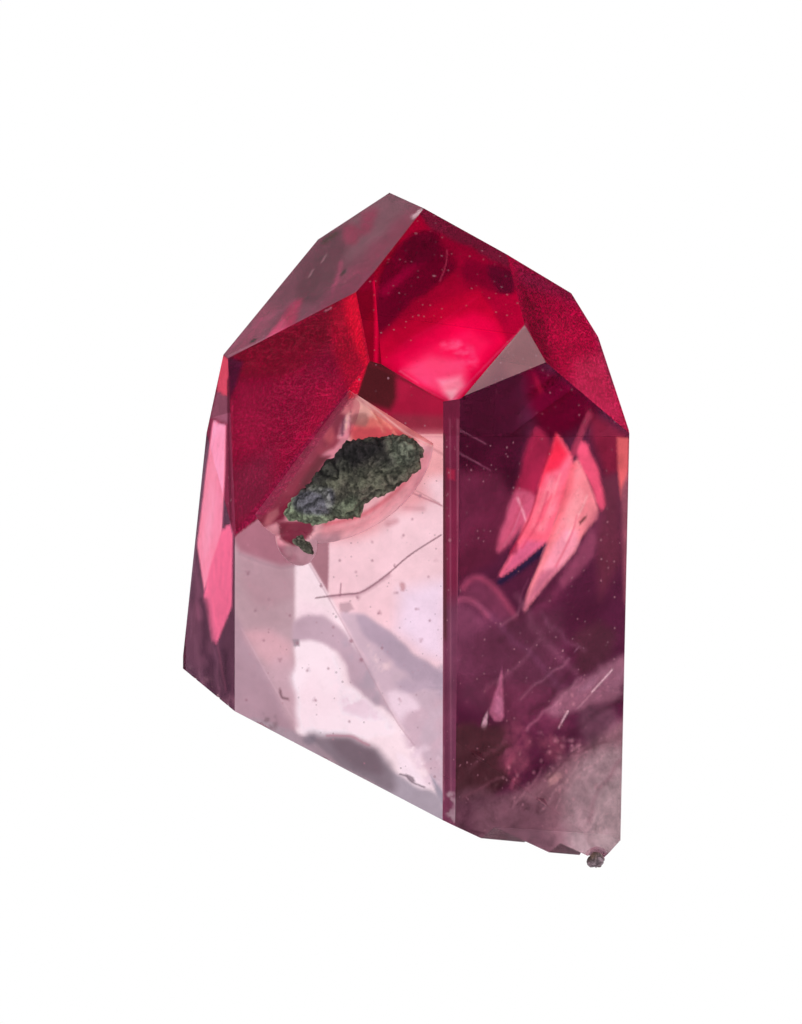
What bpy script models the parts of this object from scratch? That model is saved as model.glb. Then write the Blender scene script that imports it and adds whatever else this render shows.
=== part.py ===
"""A transparent red and pink crystal: a six-sided prism with a many-faced top and a broken base.

It stands on the flat of its break, so its prism axis leans to one side.  The faces are planes, each given
by where it looks and how far it is from the middle of the prism.  Rock is lodged in a hollow of the front.
Metres, +Z up, origin under the middle of the object.
"""

import math

import bmesh
import bpy
import numpy as np
from mathutils import Matrix, Vector, noise

MM = 0.001

# Driving dimensions, in millimetres and degrees
PRISM_APOTHEM = 9.85      # middle of the prism to the middle of a side face
BLANK_SIZE = 80.0         # block that the faces are cut from
LEAN = 26.8               # of the prism axis, to the left, when it stands on its break
NOD = 1.0                 # of the prism axis, towards the front
BREAK_DEPTH = 11.7        # middle of the prism to the plane it rests on

# Each face: where it looks, turned to the right from the front, how far it tips up, and its distance
SIDE_FACES = {
    "left": (-79.9, 0.1, 9.78),
    "left_upper": (-76.0, 6.8, 10.03),
    "front_left": (-19.8, 0.35, PRISM_APOTHEM),
    "front_edge": (18.5, 0.3, 10.98),
    "front_right": (39.2, 0.0, PRISM_APOTHEM),
    "right": (99.95, -1.45, 9.92),
    "back": (160.0, 0.0, 9.3),
    "back_left": (-141.0, 3.0, 14.0),
    "back_left_upper": (-112.1, 19.9, 11.11),
}
TOP_FACES = {
    "centre": (10.5, 41.5, 12.49),
    "small_triangle": (30.0, 26.2, 12.29),
    "sliver": (-6.3, 41.0, 12.88),
    "etched_left": (-49.8, 23.0, 10.39),
    "etched_right": (62.2, 31.4, 12.24),
    "summit_left": (-65.6, 48.3, 12.2),
    "summit_back_left": (-99.1, 59.0, 15.44),
    "summit_right": (89.5, 60.5, 14.28),
    "right_shoulder": (108.5, 28.0, 12.33),
    "right_corner": (95.7, 13.2, 11.29),
    "back_slope": (160.0, 24.0, 10.4),
}

# The shell-like hollow in the front left face, in the directions of that face
HOLLOW_ACROSS = -0.05     # to the right of the face's middle line
HOLLOW_UP = 3.1
HOLLOW_TURN = 27.3        # its long side rises to the right
HOLLOW_RADII = (5.15, 3.45, 2.9)
HOLLOW_OUT = 0.4          # its middle stands this far in front of the face
HOLLOW_ROOF = (59.1, 6.03)    # straight upper rim: where it looks, turned up from the right, and its distance
HOLLOW_WALL = (141.0, 3.99)   # straight left rim, beside the etched face
WALL_SLANT = 20.0         # of both, so that the hollow narrows inwards
LOBE_CENTRE = (-3.75, -2.15, 0.2)
LOBE_RADII = (1.05, 1.35, 1.3)

# The rock lodged in the hollow, in the hollow's own directions: along, across and outwards
CLUMP_CENTRE = (-0.02, -0.87, -0.6)
CLUMP_RADII = (4.05, 1.87, 0.92)
CRUMB_CENTRE = (-3.7, -2.5, -0.15)
CRUMB_RADII = (0.4, 0.5, 0.36)
ROCK_ROUGHNESS = 0.13     # of its radius

# The steps of the break at the right: along the floor from the prism's middle, and their height
BREAK_STEPS = ((11.3, 0.76), (14.0, 1.4))
STEP_SLANT = -8.0         # of a step's riser in plan
RISER_LEAN = 20.0         # of a riser's top, to the right
CORNER_CHIP = (73.0, 18.13)  # lean of the chipped right corner, and its distance

# The crumb in the lower right corner, in the upright prism's directions, and the pocket it sits in
BASE_CRUMB_CENTRE = (9.15, -4.95, -16.35)
BASE_CRUMB_RADII = (0.45, 0.4, 0.34)
POCKET_RADII = (0.85, 0.75, 0.72)

# Chips off the rim of the break: which face, how far along its rim to the right, and how big
CHIPS = (
    ("left", -6.0, 0.3),
    ("left", 1.5, 0.42),
    ("left", 4.6, 0.25),
    ("front_left", -3.6, 0.22),
    ("front_left", 0.4, 0.3),
    ("front_left", 4.1, 0.2),
    ("front_edge", 0.4, 0.5),
    ("front_right", 3.4, 0.3),
    ("right", 2.0, 0.5),
    ("back", -4.5, 0.45),
    ("back", 0.8, 0.6),
    ("back", 5.2, 0.35),
)


def clear_scene():
    """Removes every object and mesh of the open file."""
    for thing in list(bpy.data.objects):
        bpy.data.objects.remove(thing, do_unlink=True)
    for mesh in list(bpy.data.meshes):
        bpy.data.meshes.remove(mesh)


def make_material(name, colour, roughness, transmission=0.0):
    """A plain Principled material."""
    material = bpy.data.materials.new(name)
    material.use_nodes = True
    shader = material.node_tree.nodes["Principled BSDF"]
    shader.inputs["Base Color"].default_value = (*colour, 1.0)
    shader.inputs["Roughness"].default_value = roughness
    shader.inputs["Metallic"].default_value = 0.0
    shader.inputs["Transmission Weight"].default_value = transmission
    return material


def facing(azimuth, rise):
    """Unit vector of a face: azimuth turns right from the front (-Y), rise tips it up."""
    a, r = math.radians(azimuth), math.radians(rise)
    return Vector((math.cos(r) * math.sin(a), -math.cos(r) * math.cos(a), math.sin(r)))


def standing():
    """Rotation from the upright prism to the crystal as it stands on its break."""
    lean = Matrix.Rotation(math.radians(-LEAN), 4, "Y")
    nod = Matrix.Rotation(math.radians(-NOD), 4, "X")
    return nod @ lean


def slice_off(body, normal, distance):
    """Cuts away what lies past a plane at a distance (mm) along its normal, and closes the cut."""
    everything = body.verts[:] + body.edges[:] + body.faces[:]
    cut = bmesh.ops.bisect_plane(
        body,
        geom=everything,
        plane_co=normal * distance * MM,
        plane_no=normal,
        clear_outer=True,
        dist=1e-8,
    )
    rim = [part for part in cut["geom_cut"] if isinstance(part, bmesh.types.BMEdge)]
    if rim:
        bmesh.ops.edgeloop_fill(body, edges=rim)


def add_object(name, body, material=None):
    """Puts a bmesh into a named object."""
    mesh = bpy.data.meshes.new(name)
    body.to_mesh(mesh)
    body.free()
    thing = bpy.data.objects.new(name, mesh)
    bpy.context.collection.objects.link(thing)
    if material is not None:
        mesh.materials.append(material)
    return thing


def cut_with(thing, cutter):
    """Subtracts a cutter, which stays in the file as a hidden guide."""
    cutter.hide_render = True
    cutter.display_type = "WIRE"
    step = thing.modifiers.new(cutter.name, "BOOLEAN")
    step.operation = "DIFFERENCE"
    step.solver = "EXACT"
    step.object = cutter


def crystal_body():
    """The whole prism with its top, cut face by face from a block, and turned to stand."""
    body = bmesh.new()
    bmesh.ops.create_cube(body, size=BLANK_SIZE * MM)
    for azimuth, rise, distance in list(SIDE_FACES.values()) + list(TOP_FACES.values()):
        slice_off(body, facing(azimuth, rise), distance)
    body.transform(standing())
    slice_off(body, Vector((0.0, 0.0, -1.0)), BREAK_DEPTH)
    chip_lean, chip_distance = CORNER_CHIP
    chip = math.radians(chip_lean)
    slice_off(body, Vector((math.sin(chip), 0.0, -math.cos(chip))), chip_distance)
    bmesh.ops.remove_doubles(body, verts=body.verts[:], dist=1e-7)
    bmesh.ops.recalc_face_normals(body, faces=body.faces[:])
    return body


def step_cutter(start, height):
    """A block under the break, from a slanted riser to past the right end."""
    reach, depth, below = 30.0, 60.0, 4.0
    body = bmesh.new()
    bmesh.ops.create_cube(body, size=1.0)
    bmesh.ops.scale(body, vec=Vector((reach, depth, below + height)) * MM, verts=body.verts)
    bmesh.ops.translate(body, vec=(reach * MM / 2, 0.0, (height - below) * MM / 2), verts=body.verts)
    for point in body.verts:
        if point.co.x < MM:
            point.co.x += point.co.z * math.tan(math.radians(RISER_LEAN))
    body.transform(Matrix.Rotation(math.radians(STEP_SLANT), 4, "Z"))
    bmesh.ops.translate(body, vec=(start * MM, 0.0, -BREAK_DEPTH * MM), verts=body.verts)
    return add_object(f"step_guide_{round(start)}", body)


def front_face_axes():
    """Directions of the front left face: to the right, up and outwards, with the face's middle."""
    azimuth, rise, distance = SIDE_FACES["front_left"]
    outward = facing(azimuth, rise)
    right = Vector((0.0, 0.0, 1.0)).cross(outward).normalized()
    up = outward.cross(right)
    return right, up, outward, outward * distance


def hollow_frame():
    """Matrix from the hollow's own directions (along, across, outwards) to the standing crystal."""
    right, up, outward, middle = front_face_axes()
    middle = middle + right * HOLLOW_ACROSS + up * HOLLOW_UP
    turn = math.radians(HOLLOW_TURN)
    along = right * math.cos(turn) + up * math.sin(turn)
    across = up * math.cos(turn) - right * math.sin(turn)
    axes = Matrix((along, across, outward)).transposed().to_4x4()
    return standing() @ Matrix.Translation(middle * MM) @ axes


def ball(radii, centre, fineness):
    """An icosphere stretched to radii, round a centre."""
    body = bmesh.new()
    bmesh.ops.create_icosphere(body, subdivisions=fineness, radius=1.0)
    bmesh.ops.scale(body, vec=Vector(radii) * MM, verts=body.verts)
    bmesh.ops.translate(body, vec=Vector(centre) * MM, verts=body.verts)
    return body


def hollow_cutter():
    """An ellipsoid with its middle in front of the face, cut straight along its upper and left rims."""
    body = ball(HOLLOW_RADII, (0.0, 0.0, HOLLOW_OUT), 4)
    body.transform(standing().inverted() @ hollow_frame())
    right, up, outward, middle = front_face_axes()
    slant = math.radians(WALL_SLANT)
    for turn, reach in (HOLLOW_ROOF, HOLLOW_WALL):
        side = right * math.cos(math.radians(turn)) + up * math.sin(math.radians(turn))
        normal = side * math.cos(slant) - outward * math.sin(slant)
        slice_off(body, normal, normal.dot(middle + side * reach))
    bmesh.ops.recalc_face_normals(body, faces=body.faces[:])
    body.transform(standing())
    return add_object("hollow_guide", body)


def lobe_cutter():
    """The small pit below the left end of the hollow."""
    body = ball(LOBE_RADII, LOBE_CENTRE, 3)
    body.transform(hollow_frame())
    return add_object("lobe_guide", body)


def pocket_cutter():
    """The pocket of the crumb in the lower right corner."""
    body = ball(POCKET_RADII, BASE_CRUMB_CENTRE, 2)
    body.transform(standing())
    return add_object("pocket_guide", body)


def rim_point(face, along):
    """Where a side face meets the break: along its rim to the right, and the rim's direction."""
    azimuth, rise, distance = SIDE_FACES[face]
    normal = standing().to_3x3() @ facing(azimuth, rise)
    flat = Vector((normal.x, normal.y, 0.0))
    reach = (distance + normal.z * BREAK_DEPTH) / flat.length
    outward = flat.normalized()
    right = Vector((0.0, 0.0, 1.0)).cross(outward)
    return outward * reach + right * along + Vector((0.0, 0.0, -BREAK_DEPTH)), right


def roughen(body, roughness, seed):
    """Moves each point of a ball in or out by a smooth noise of its direction."""
    offset = Vector((seed, 2.0 * seed, 3.0 * seed))
    for point in body.verts:
        coarse = noise.noise(point.co * 2.1 + offset)
        fine = noise.noise(point.co * 5.3 + offset)
        point.co *= 1.0 - roughness + roughness * (coarse + 0.6 * fine)


def chip_cutter(number, face, along, size):
    """A small rough lump that bites into the rim of the break."""
    body = bmesh.new()
    bmesh.ops.create_icosphere(body, subdivisions=1, radius=1.0)
    roughen(body, 0.35, 0.7 + number)
    bmesh.ops.scale(body, vec=Vector((2.0 * size, size, 0.8 * size)) * MM, verts=body.verts)
    place, right = rim_point(face, along)
    body.transform(Matrix.Rotation(math.atan2(right.y, right.x), 4, "Z"))
    bmesh.ops.translate(body, vec=place * MM, verts=body.verts)
    return add_object(f"chip_guide_{number}", body)


def rock(name, centre, radii, place, fineness, seed, material):
    """A lumpy ellipsoid."""
    body = bmesh.new()
    bmesh.ops.create_icosphere(body, subdivisions=fineness, radius=1.0)
    roughen(body, ROCK_ROUGHNESS, seed)
    bmesh.ops.scale(body, vec=Vector(radii) * MM, verts=body.verts)
    bmesh.ops.translate(body, vec=Vector(centre) * MM, verts=body.verts)
    body.transform(place)
    return add_object(name, body, material)


def centre_over_origin(things, main):
    """Moves every mesh so that the box of the main one stands over the origin, on the floor."""
    bpy.context.view_layer.update()
    evaluated = main.evaluated_get(bpy.context.evaluated_depsgraph_get())
    corners = np.array([tuple(v.co) for v in evaluated.data.vertices])
    low, high = corners.min(axis=0), corners.max(axis=0)
    shift = Vector((-(low[0] + high[0]) / 2, -(low[1] + high[1]) / 2, -low[2]))
    for thing in things:
        thing.data.transform(Matrix.Translation(shift))


def build():
    clear_scene()
    clear_pink = make_material("clear pink crystal", (0.86, 0.33, 0.45), 0.03, transmission=1.0)
    green_rock = make_material("green-grey rock", (0.16, 0.19, 0.15), 0.9)
    brown_rock = make_material("green-brown rock", (0.20, 0.16, 0.12), 0.9)

    crystal = add_object("crystal", crystal_body(), clear_pink)
    guides = [hollow_cutter(), lobe_cutter(), pocket_cutter()]
    guides += [step_cutter(start, height) for start, height in BREAK_STEPS]
    guides += [chip_cutter(number, *chip) for number, chip in enumerate(CHIPS)]
    for guide in guides:
        cut_with(crystal, guide)

    seat = hollow_frame()
    clump = rock("matrix_clump", CLUMP_CENTRE, CLUMP_RADII, seat, 4, 1.7, green_rock)
    crumb = rock("small_crumb", CRUMB_CENTRE, CRUMB_RADII, seat, 2, 4.1, green_rock)
    stub = rock("base_crumb", BASE_CRUMB_CENTRE, BASE_CRUMB_RADII, standing(), 2, 6.3, brown_rock)
    centre_over_origin([crystal, clump, crumb, stub] + guides, crystal)


build()
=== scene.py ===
"""Looks of a clear crystal: red many-faced top, pink see-through prism, rock lodged in a hollow of its front.

Places on the crystal are given in its own upright directions, in millimetres from the middle of the prism:
x to the right, y away from the camera, z up along the prism.  `stand` turns them into the frame's metres.
What shows through each face, the backlight with the crystal's inner reflections and its shade, is painted on
its skin as areas, lines and spots of colour.  They are given in the photograph's pixels, and `photo_place`
says where a point of the crystal shows.
"""

import math

import bmesh
import bpy
import numpy as np
from mathutils import Matrix, Vector
from mathutils.geometry import delaunay_2d_cdt


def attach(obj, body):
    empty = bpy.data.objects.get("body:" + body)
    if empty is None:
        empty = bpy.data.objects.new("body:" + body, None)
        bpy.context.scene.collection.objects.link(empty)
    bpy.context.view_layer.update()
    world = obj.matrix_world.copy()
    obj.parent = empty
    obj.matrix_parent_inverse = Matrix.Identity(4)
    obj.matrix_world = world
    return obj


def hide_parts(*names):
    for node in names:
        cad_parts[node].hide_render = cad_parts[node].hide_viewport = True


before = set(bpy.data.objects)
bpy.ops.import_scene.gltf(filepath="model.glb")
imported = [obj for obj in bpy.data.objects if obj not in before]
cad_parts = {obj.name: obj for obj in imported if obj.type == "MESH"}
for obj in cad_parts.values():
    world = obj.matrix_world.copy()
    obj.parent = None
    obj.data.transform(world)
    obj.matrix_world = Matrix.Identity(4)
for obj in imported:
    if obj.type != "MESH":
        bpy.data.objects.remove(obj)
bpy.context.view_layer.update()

MM = 0.001
LEAN = 26.8                               # of the prism's axis to the left, in degrees
NOD = 1.0                                 # of the prism's axis to the front
PRISM_MIDDLE = (-1.9723, -0.5375, 11.7)   # where the prism's middle stands in the frame, in mm

# The photograph's frame, and the size of its pixel at the prism's middle
PHOTO_WIDE, PHOTO_HIGH = 802, 1024
PIXEL = 0.05                              # mm
PHOTO_MIDDLE = (410.0, 530.0)             # pixel of the prism's middle
CAMERA_AWAY = 450.0                       # mm
SENSOR = 36.0                             # mm
NEAREST = 0.01                            # that the camera sees, in metres

# Faces: turned to the right from the front and tipped up, in degrees, and distance from the prism's middle
FACES = {
    "left": (-79.9, 0.1, 9.78),
    "left_upper": (-76.0, 6.8, 10.03),
    "front_left": (-19.8, 0.35, 9.85),
    "front_edge": (18.5, 0.3, 10.98),
    "front_right": (39.2, 0.0, 9.85),
    "right": (99.95, -1.45, 9.92),
    "back": (160.0, 0.0, 9.3),
    "back_left": (-141.0, 3.0, 14.0),
    "back_left_upper": (-112.1, 19.9, 11.11),
    "centre": (10.5, 41.5, 12.49),
    "small_triangle": (30.0, 26.2, 12.29),
    "sliver": (-6.3, 41.0, 12.88),
    "etched_left": (-49.8, 23.0, 10.39),
    "etched_right": (62.2, 31.4, 12.24),
    "summit_left": (-65.6, 48.3, 12.2),
    "summit_back_left": (-99.1, 59.0, 15.44),
    "summit_right": (89.5, 60.5, 14.28),
    "right_shoulder": (108.5, 28.0, 12.33),
    "right_corner": (95.7, 13.2, 11.29),
    "back_slope": (160.0, 24.0, 10.4),
}
FLAT_TOLERANCE = 0.012                    # how far off its plane a face's triangle may lie, in mm
SIDE_FACES = ("right", "right_corner", "right_shoulder", "summit_right")   # painted as seen from the right

# The hollow in the front left face: place of its middle on the face, then the centres and radii of its two
# round parts in its own directions along, across and outwards
HOLLOW_TURN = 27.3                        # of its long way, in degrees
HOLLOW_ACROSS, HOLLOW_UP = -0.05, 3.1
HOLLOW_BALLS = (
    ((0.0, 0.0, 0.4), (5.15, 3.45, 2.9)),
    ((-3.75, -2.15, 0.2), (1.05, 1.35, 1.3)),
)
HOLLOW_REACH = 1.03                       # a triangle within this many radii belongs to the hollow
WALL_REACH = 0.02                         # a point this near to a round wall, in radii, is moved on to it
HOLLOW_WEAR, HOLLOW_WAVES = 0.035, 0.9    # unevenness of its walls in mm, and waves a mm

# Size of the skin's triangles, in mm
FINE_STEPS = {
    "front_left": 0.13, "hollow": 0.13, "centre": 0.13, "sliver": 0.13, "etched_left": 0.13,
    "front_edge": 0.14, "etched_right": 0.15, "front_right": 0.16, "summit_left": 0.16,
    "small_triangle": 0.2, "left": 0.22, "left_upper": 0.22, "break": 0.35,
}
COARSE_STEP = 0.6     # and of the other faces
CRISP_SOFT = 4.5      # a layer whose edge fades over no more pixels than this is sharp
CRISP_GAP = 1.8       # pixels between the skin's points along it
DENT = 6e-5           # inward bow of a split edge while its face is filled, of its length
DENT_ROOM = 0.1       # and at most this much of the room that it has
EDGE_GAP = 0.25       # no inner point comes nearer to an edge, in steps
ROW_GAP = 0.866       # between rows of points, in steps
ROW_START = 0.31      # of the first row inside the outline's box, in steps
UNEVEN, UNEVEN_WAVES = 0.06, 7.1   # points are moved by so many steps, in so many waves a mm
SAME_POINT = 1e-9     # points of a face that are nearer are one, in mm
HOLLOW_GROUP = 99     # shading group of the hollow
LONE_GROUPS = 100     # and of the first triangle outside the named faces, each a group of its own

# Drawing, in pixels of the photograph
CURVE_STEPS = 6       # from each point of a curve to the next
WOBBLE_GAP = 5.0      # between the points of a shaken outline
WOBBLE_SIZE = 13.0    # of its waves
WOBBLE_SEEDS = (5, 9)
CLOUD_SEED, MOTTLE_SEED, FINE_SEED = 41, 23, 21
CLOUD_CONTRAST = 1.1
SPOT_EDGE = 1.3       # a spot's fade ends so many sizes from its middle

# The crystal's inside
CLEAR_IOR = 1.65
INNER_COLOUR = (0.933, 0.154, 0.50)
INNER_DENSITY = 13.0
INNER_SHARE = 0.25    # how much of its tint a face gives to light that is already inside
HOLLOW_SHARE = 0.9    # the same in the hollow, whose walls mirror one another

# What the crystal's skin adds to its tint; its glints are painted highlights
WRINKLE_STRETCH = (0.8, 0.8, 2.4)
WRINKLE_WIDTH = 0.035
WRINKLE_PATCHES = (0.46, 0.58)                    # noise between which wrinkles set in
WRINKLE_HEIGHT, GRAIN_HEIGHT = 0.4, 0.9
WRINKLE_GLINT, GRAIN_GLINTS = 1.4, (0.47, 0.66, 0.56, 2.4)
SKIN_RELIEF = 0.00003                             # metres
CLOUD_GAIN, CLOUD_DARKEST = 3.2, 0.2
FINE_SPECKS = {"Scale": 3.4, "Size": 0.20, "Share": 0.45}
LARGE_SPECKS = {"Scale": 1.1, "Size": 0.09, "Share": 0.5}
FINE_SPECK_SHARE = 0.8
SMALLEST_SPECK = 0.3
BRIGHT_TINT = (0.15, 0.5)                         # red of a tint that counts as dark, and as bright
SPECK_ON_DARK, SPECK_ON_BRIGHT = 0.38, 0.7        # share of a speck's own colour
LIGHT_SPECK = (0.30, 0.09, 0.13, 1.0)
DARK_SPECK = 0.2                                  # of the tint round it

# The rocks' grain
GRAIN_SCALE, GRAIN_ROUGHNESS = 4.5, 0.75
GRAIN_SHADES = (0.32, 0.68, 0.5, 1.6)
ROCK_ROUGHNESS = 0.85
ROCK_RELIEF = 0.00006                             # metres

# Noise
HASH_AXES = (73856093, 19349663, 83492791)
HASH_SEED, HASH_MIX = 2654435761, 1274126177
OCTAVE_SHIFT = 17.3

STANDING = Matrix.Rotation(math.radians(-NOD), 4, "X") @ Matrix.Rotation(math.radians(-LEAN), 4, "Y")
TO_FRAME = Matrix.Translation(Vector(PRISM_MIDDLE) * MM) @ STANDING @ Matrix.Scale(MM, 4)


def stand(points):
    """Points of the upright crystal in mm, one a row, to the frame's metres."""
    turn = np.array(TO_FRAME)
    return np.asarray(points, float) @ turn[:3, :3].T + turn[:3, 3]


def upright(points):
    """Points in the frame's metres to the upright crystal's mm."""
    turn = np.array(TO_FRAME.inverted())
    return np.asarray(points, float) @ turn[:3, :3].T + turn[:3, 3]


def facing(azimuth, rise):
    """Unit vector in the upright crystal: turned by azimuth from the front, tipped up by rise, in degrees."""
    a, r = math.radians(azimuth), math.radians(rise)
    return np.array((math.cos(r) * math.sin(a), -math.cos(r) * math.cos(a), math.sin(r)))


def camera_place():
    """The camera in the upright crystal: before the point that shows in the photograph's middle."""
    across = (PHOTO_WIDE / 2 - PHOTO_MIDDLE[0]) * PIXEL
    above = (PHOTO_MIDDLE[1] - PHOTO_HIGH / 2) * PIXEL
    return np.array((across, -CAMERA_AWAY, above))


def photo_place(points):
    """Pixels at which points of the upright crystal show: offset from the camera's line over their depth."""
    x, y, z = (np.asarray(points) - camera_place()).T
    reach = CAMERA_AWAY / PIXEL
    return np.stack((PHOTO_WIDE / 2 + reach * x / y, PHOTO_HIGH / 2 - reach * z / y), -1)


def side_place(points):
    """The same for the faces on the right, as they show from the right side, without perspective."""
    _, y, z = np.asarray(points).T
    return np.stack((PHOTO_WIDE / 2 + y / PIXEL, PHOTO_HIGH / 2 - z / PIXEL), -1)


# Node trees

def link(tree, value, socket):
    """Feeds a socket from another node's output, or sets it to a plain value."""
    if isinstance(value, bpy.types.NodeSocket):
        tree.links.new(value, socket)
    else:
        socket.default_value = value


def put(tree, kind, *values, **settings):
    """Adds a node, sets its properties, feeds its inputs in order, and returns its first output."""
    node = tree.nodes.new(kind)
    named = settings.pop("inputs", {})
    for name, value in settings.items():
        setattr(node, name, value)
    for socket, value in zip([s for s in node.inputs if s.enabled], values):
        if value is not None:
            link(tree, value, socket)
    for name, value in named.items():
        link(tree, value, node.inputs[name])
    return [s for s in node.outputs if s.enabled][0]


def calc(tree, operation, *values):
    """A Math node."""
    return put(tree, "ShaderNodeMath", *values, operation=operation)


def vector_calc(tree, operation, *values):
    """A Vector Math node."""
    return put(tree, "ShaderNodeVectorMath", *values, operation=operation)


def scaled(tree, vector, factor):
    """A vector or colour times a number."""
    made = vector_calc(tree, "SCALE", vector)
    link(tree, factor, made.node.inputs["Scale"])
    return made


def blend(tree, share, first, second):
    """Mixes two colours: first x (1 - share) + second x share."""
    node = tree.nodes.new("ShaderNodeMix")
    node.data_type = "RGBA"
    link(tree, share, node.inputs["Factor"])
    a, b = [s for s in node.inputs if s.type == "RGBA"]
    link(tree, first, a)
    link(tree, second, b)
    return [s for s in node.outputs if s.type == "RGBA"][0]


def ramp(tree, value, low, high, to_low=0.0, to_high=1.0):
    """Smooth step: to_low below low, to_high above high."""
    node = tree.nodes.new("ShaderNodeMapRange")
    node.interpolation_type = "SMOOTHSTEP"
    for socket, given in zip(node.inputs, (value, low, high, to_low, to_high)):
        link(tree, given, socket)
    return node.outputs[0]


def noise(tree, place, scale, detail=3.0, roughness=0.55, distortion=0.0):
    """Noise texture value."""
    return put(tree, "ShaderNodeTexNoise", inputs={
        "Vector": place, "Scale": scale, "Detail": detail, "Roughness": roughness, "Distortion": distortion,
    })


def new_group(name, inputs, outputs):
    """An empty node group with named sockets, its tree, and its input and output nodes."""
    tree = bpy.data.node_groups.new(name, "ShaderNodeTree")
    for label, kind, default in inputs:
        socket = tree.interface.new_socket(name=label, in_out="INPUT", socket_type=kind)
        if default is not None:
            socket.default_value = default
    for label, kind in outputs:
        tree.interface.new_socket(name=label, in_out="OUTPUT", socket_type=kind)
    return tree, tree.nodes.new("NodeGroupInput"), tree.nodes.new("NodeGroupOutput")


def use_group(tree, group, **values):
    """Places a group and returns its node."""
    node = tree.nodes.new("ShaderNodeGroup")
    node.node_tree = group
    for name, value in values.items():
        link(tree, value, node.inputs[name.replace("_", " ")])
    return node


def upright_group():
    """Object coordinates turned into the upright crystal's millimetres."""
    tree, _, out = new_group("upright place", [], [("Place", "NodeSocketVector")])
    coords = tree.nodes.new("ShaderNodeTexCoord").outputs["Object"]
    mapping = tree.nodes.new("ShaderNodeMapping")
    mapping.vector_type = "TEXTURE"
    link(tree, coords, mapping.inputs["Vector"])
    mapping.inputs["Location"].default_value = Vector(PRISM_MIDDLE) * MM
    mapping.inputs["Rotation"].default_value = STANDING.to_euler("XYZ")
    mapping.inputs["Scale"].default_value = (MM, MM, MM)
    tree.links.new(mapping.outputs[0], out.inputs["Place"])
    return tree


def etched_group():
    """Etched skin: grains from fine noise, and short wrinkles where a bent noise passes its middle value.

    Puts out their height, and their glints: painted highlights, how much they brighten what shows through.
    """
    tree, into, out = new_group(
        "etched skin",
        [("Place", "NodeSocketVector", None)],
        [("Height", "NodeSocketFloat"), ("Glints", "NodeSocketFloat")],
    )
    place = into.outputs["Place"]
    grains = noise(tree, place, scale=9.0, roughness=0.7)
    stretched = vector_calc(tree, "MULTIPLY", place, WRINKLE_STRETCH)
    bends = noise(tree, stretched, scale=0.8, detail=2.0, roughness=0.6, distortion=1.4)
    off_middle = calc(tree, "ABSOLUTE", calc(tree, "SUBTRACT", bends, 0.5))
    patches = ramp(tree, noise(tree, place, scale=0.28, detail=1.0), *WRINKLE_PATCHES)
    wrinkles = calc(tree, "MULTIPLY", ramp(tree, off_middle, 0.0, WRINKLE_WIDTH, 1.0, 0.0), patches)
    height = calc(tree, "ADD", calc(tree, "MULTIPLY", wrinkles, WRINKLE_HEIGHT),
                  calc(tree, "MULTIPLY", grains, GRAIN_HEIGHT))
    glints = calc(tree, "ADD", ramp(tree, grains, *GRAIN_GLINTS),
                  calc(tree, "MULTIPLY", wrinkles, WRINKLE_GLINT))
    tree.links.new(height, out.inputs["Height"])
    tree.links.new(glints, out.inputs["Glints"])
    return tree


def speck_group():
    """Scattered small specks: 1 near the middle of a Voronoi cell, 0 elsewhere; only some cells hold one."""
    tree, into, out = new_group(
        "specks",
        [("Place", "NodeSocketVector", None), ("Scale", "NodeSocketFloat", 1.0),
         ("Size", "NodeSocketFloat", 0.1), ("Share", "NodeSocketFloat", 0.2)],
        [("Mask", "NodeSocketFloat")],
    )
    cells = tree.nodes.new("ShaderNodeTexVoronoi")
    link(tree, into.outputs["Place"], cells.inputs["Vector"])
    link(tree, into.outputs["Scale"], cells.inputs["Scale"])
    luck = put(tree, "ShaderNodeSeparateColor", cells.outputs["Color"])
    chosen = calc(tree, "LESS_THAN", luck.node.outputs[0], into.outputs["Share"])
    size = calc(tree, "ADD", luck.node.outputs[1], SMALLEST_SPECK)
    size = calc(tree, "MULTIPLY", into.outputs["Size"], size)
    near = calc(tree, "DIVIDE", cells.outputs["Distance"], size)
    tree.links.new(calc(tree, "MULTIPLY", ramp(tree, near, 0.5, 1.0, 1.0, 0.0), chosen), out.inputs["Mask"])
    return tree


def start_material(name):
    """A new material, its node tree and its main shader."""
    material = bpy.data.materials.new(name)
    material.use_nodes = True
    return material, material.node_tree, material.node_tree.nodes["Principled BSDF"]


def grey(value):
    """A colour socket's grey."""
    return (value, value, value, 1.0)


def attribute(tree, name):
    """Colour and alpha of a painted attribute."""
    node = tree.nodes.new("ShaderNodeAttribute")
    node.attribute_name = name
    return node.outputs["Color"], node.outputs["Alpha"]


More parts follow.
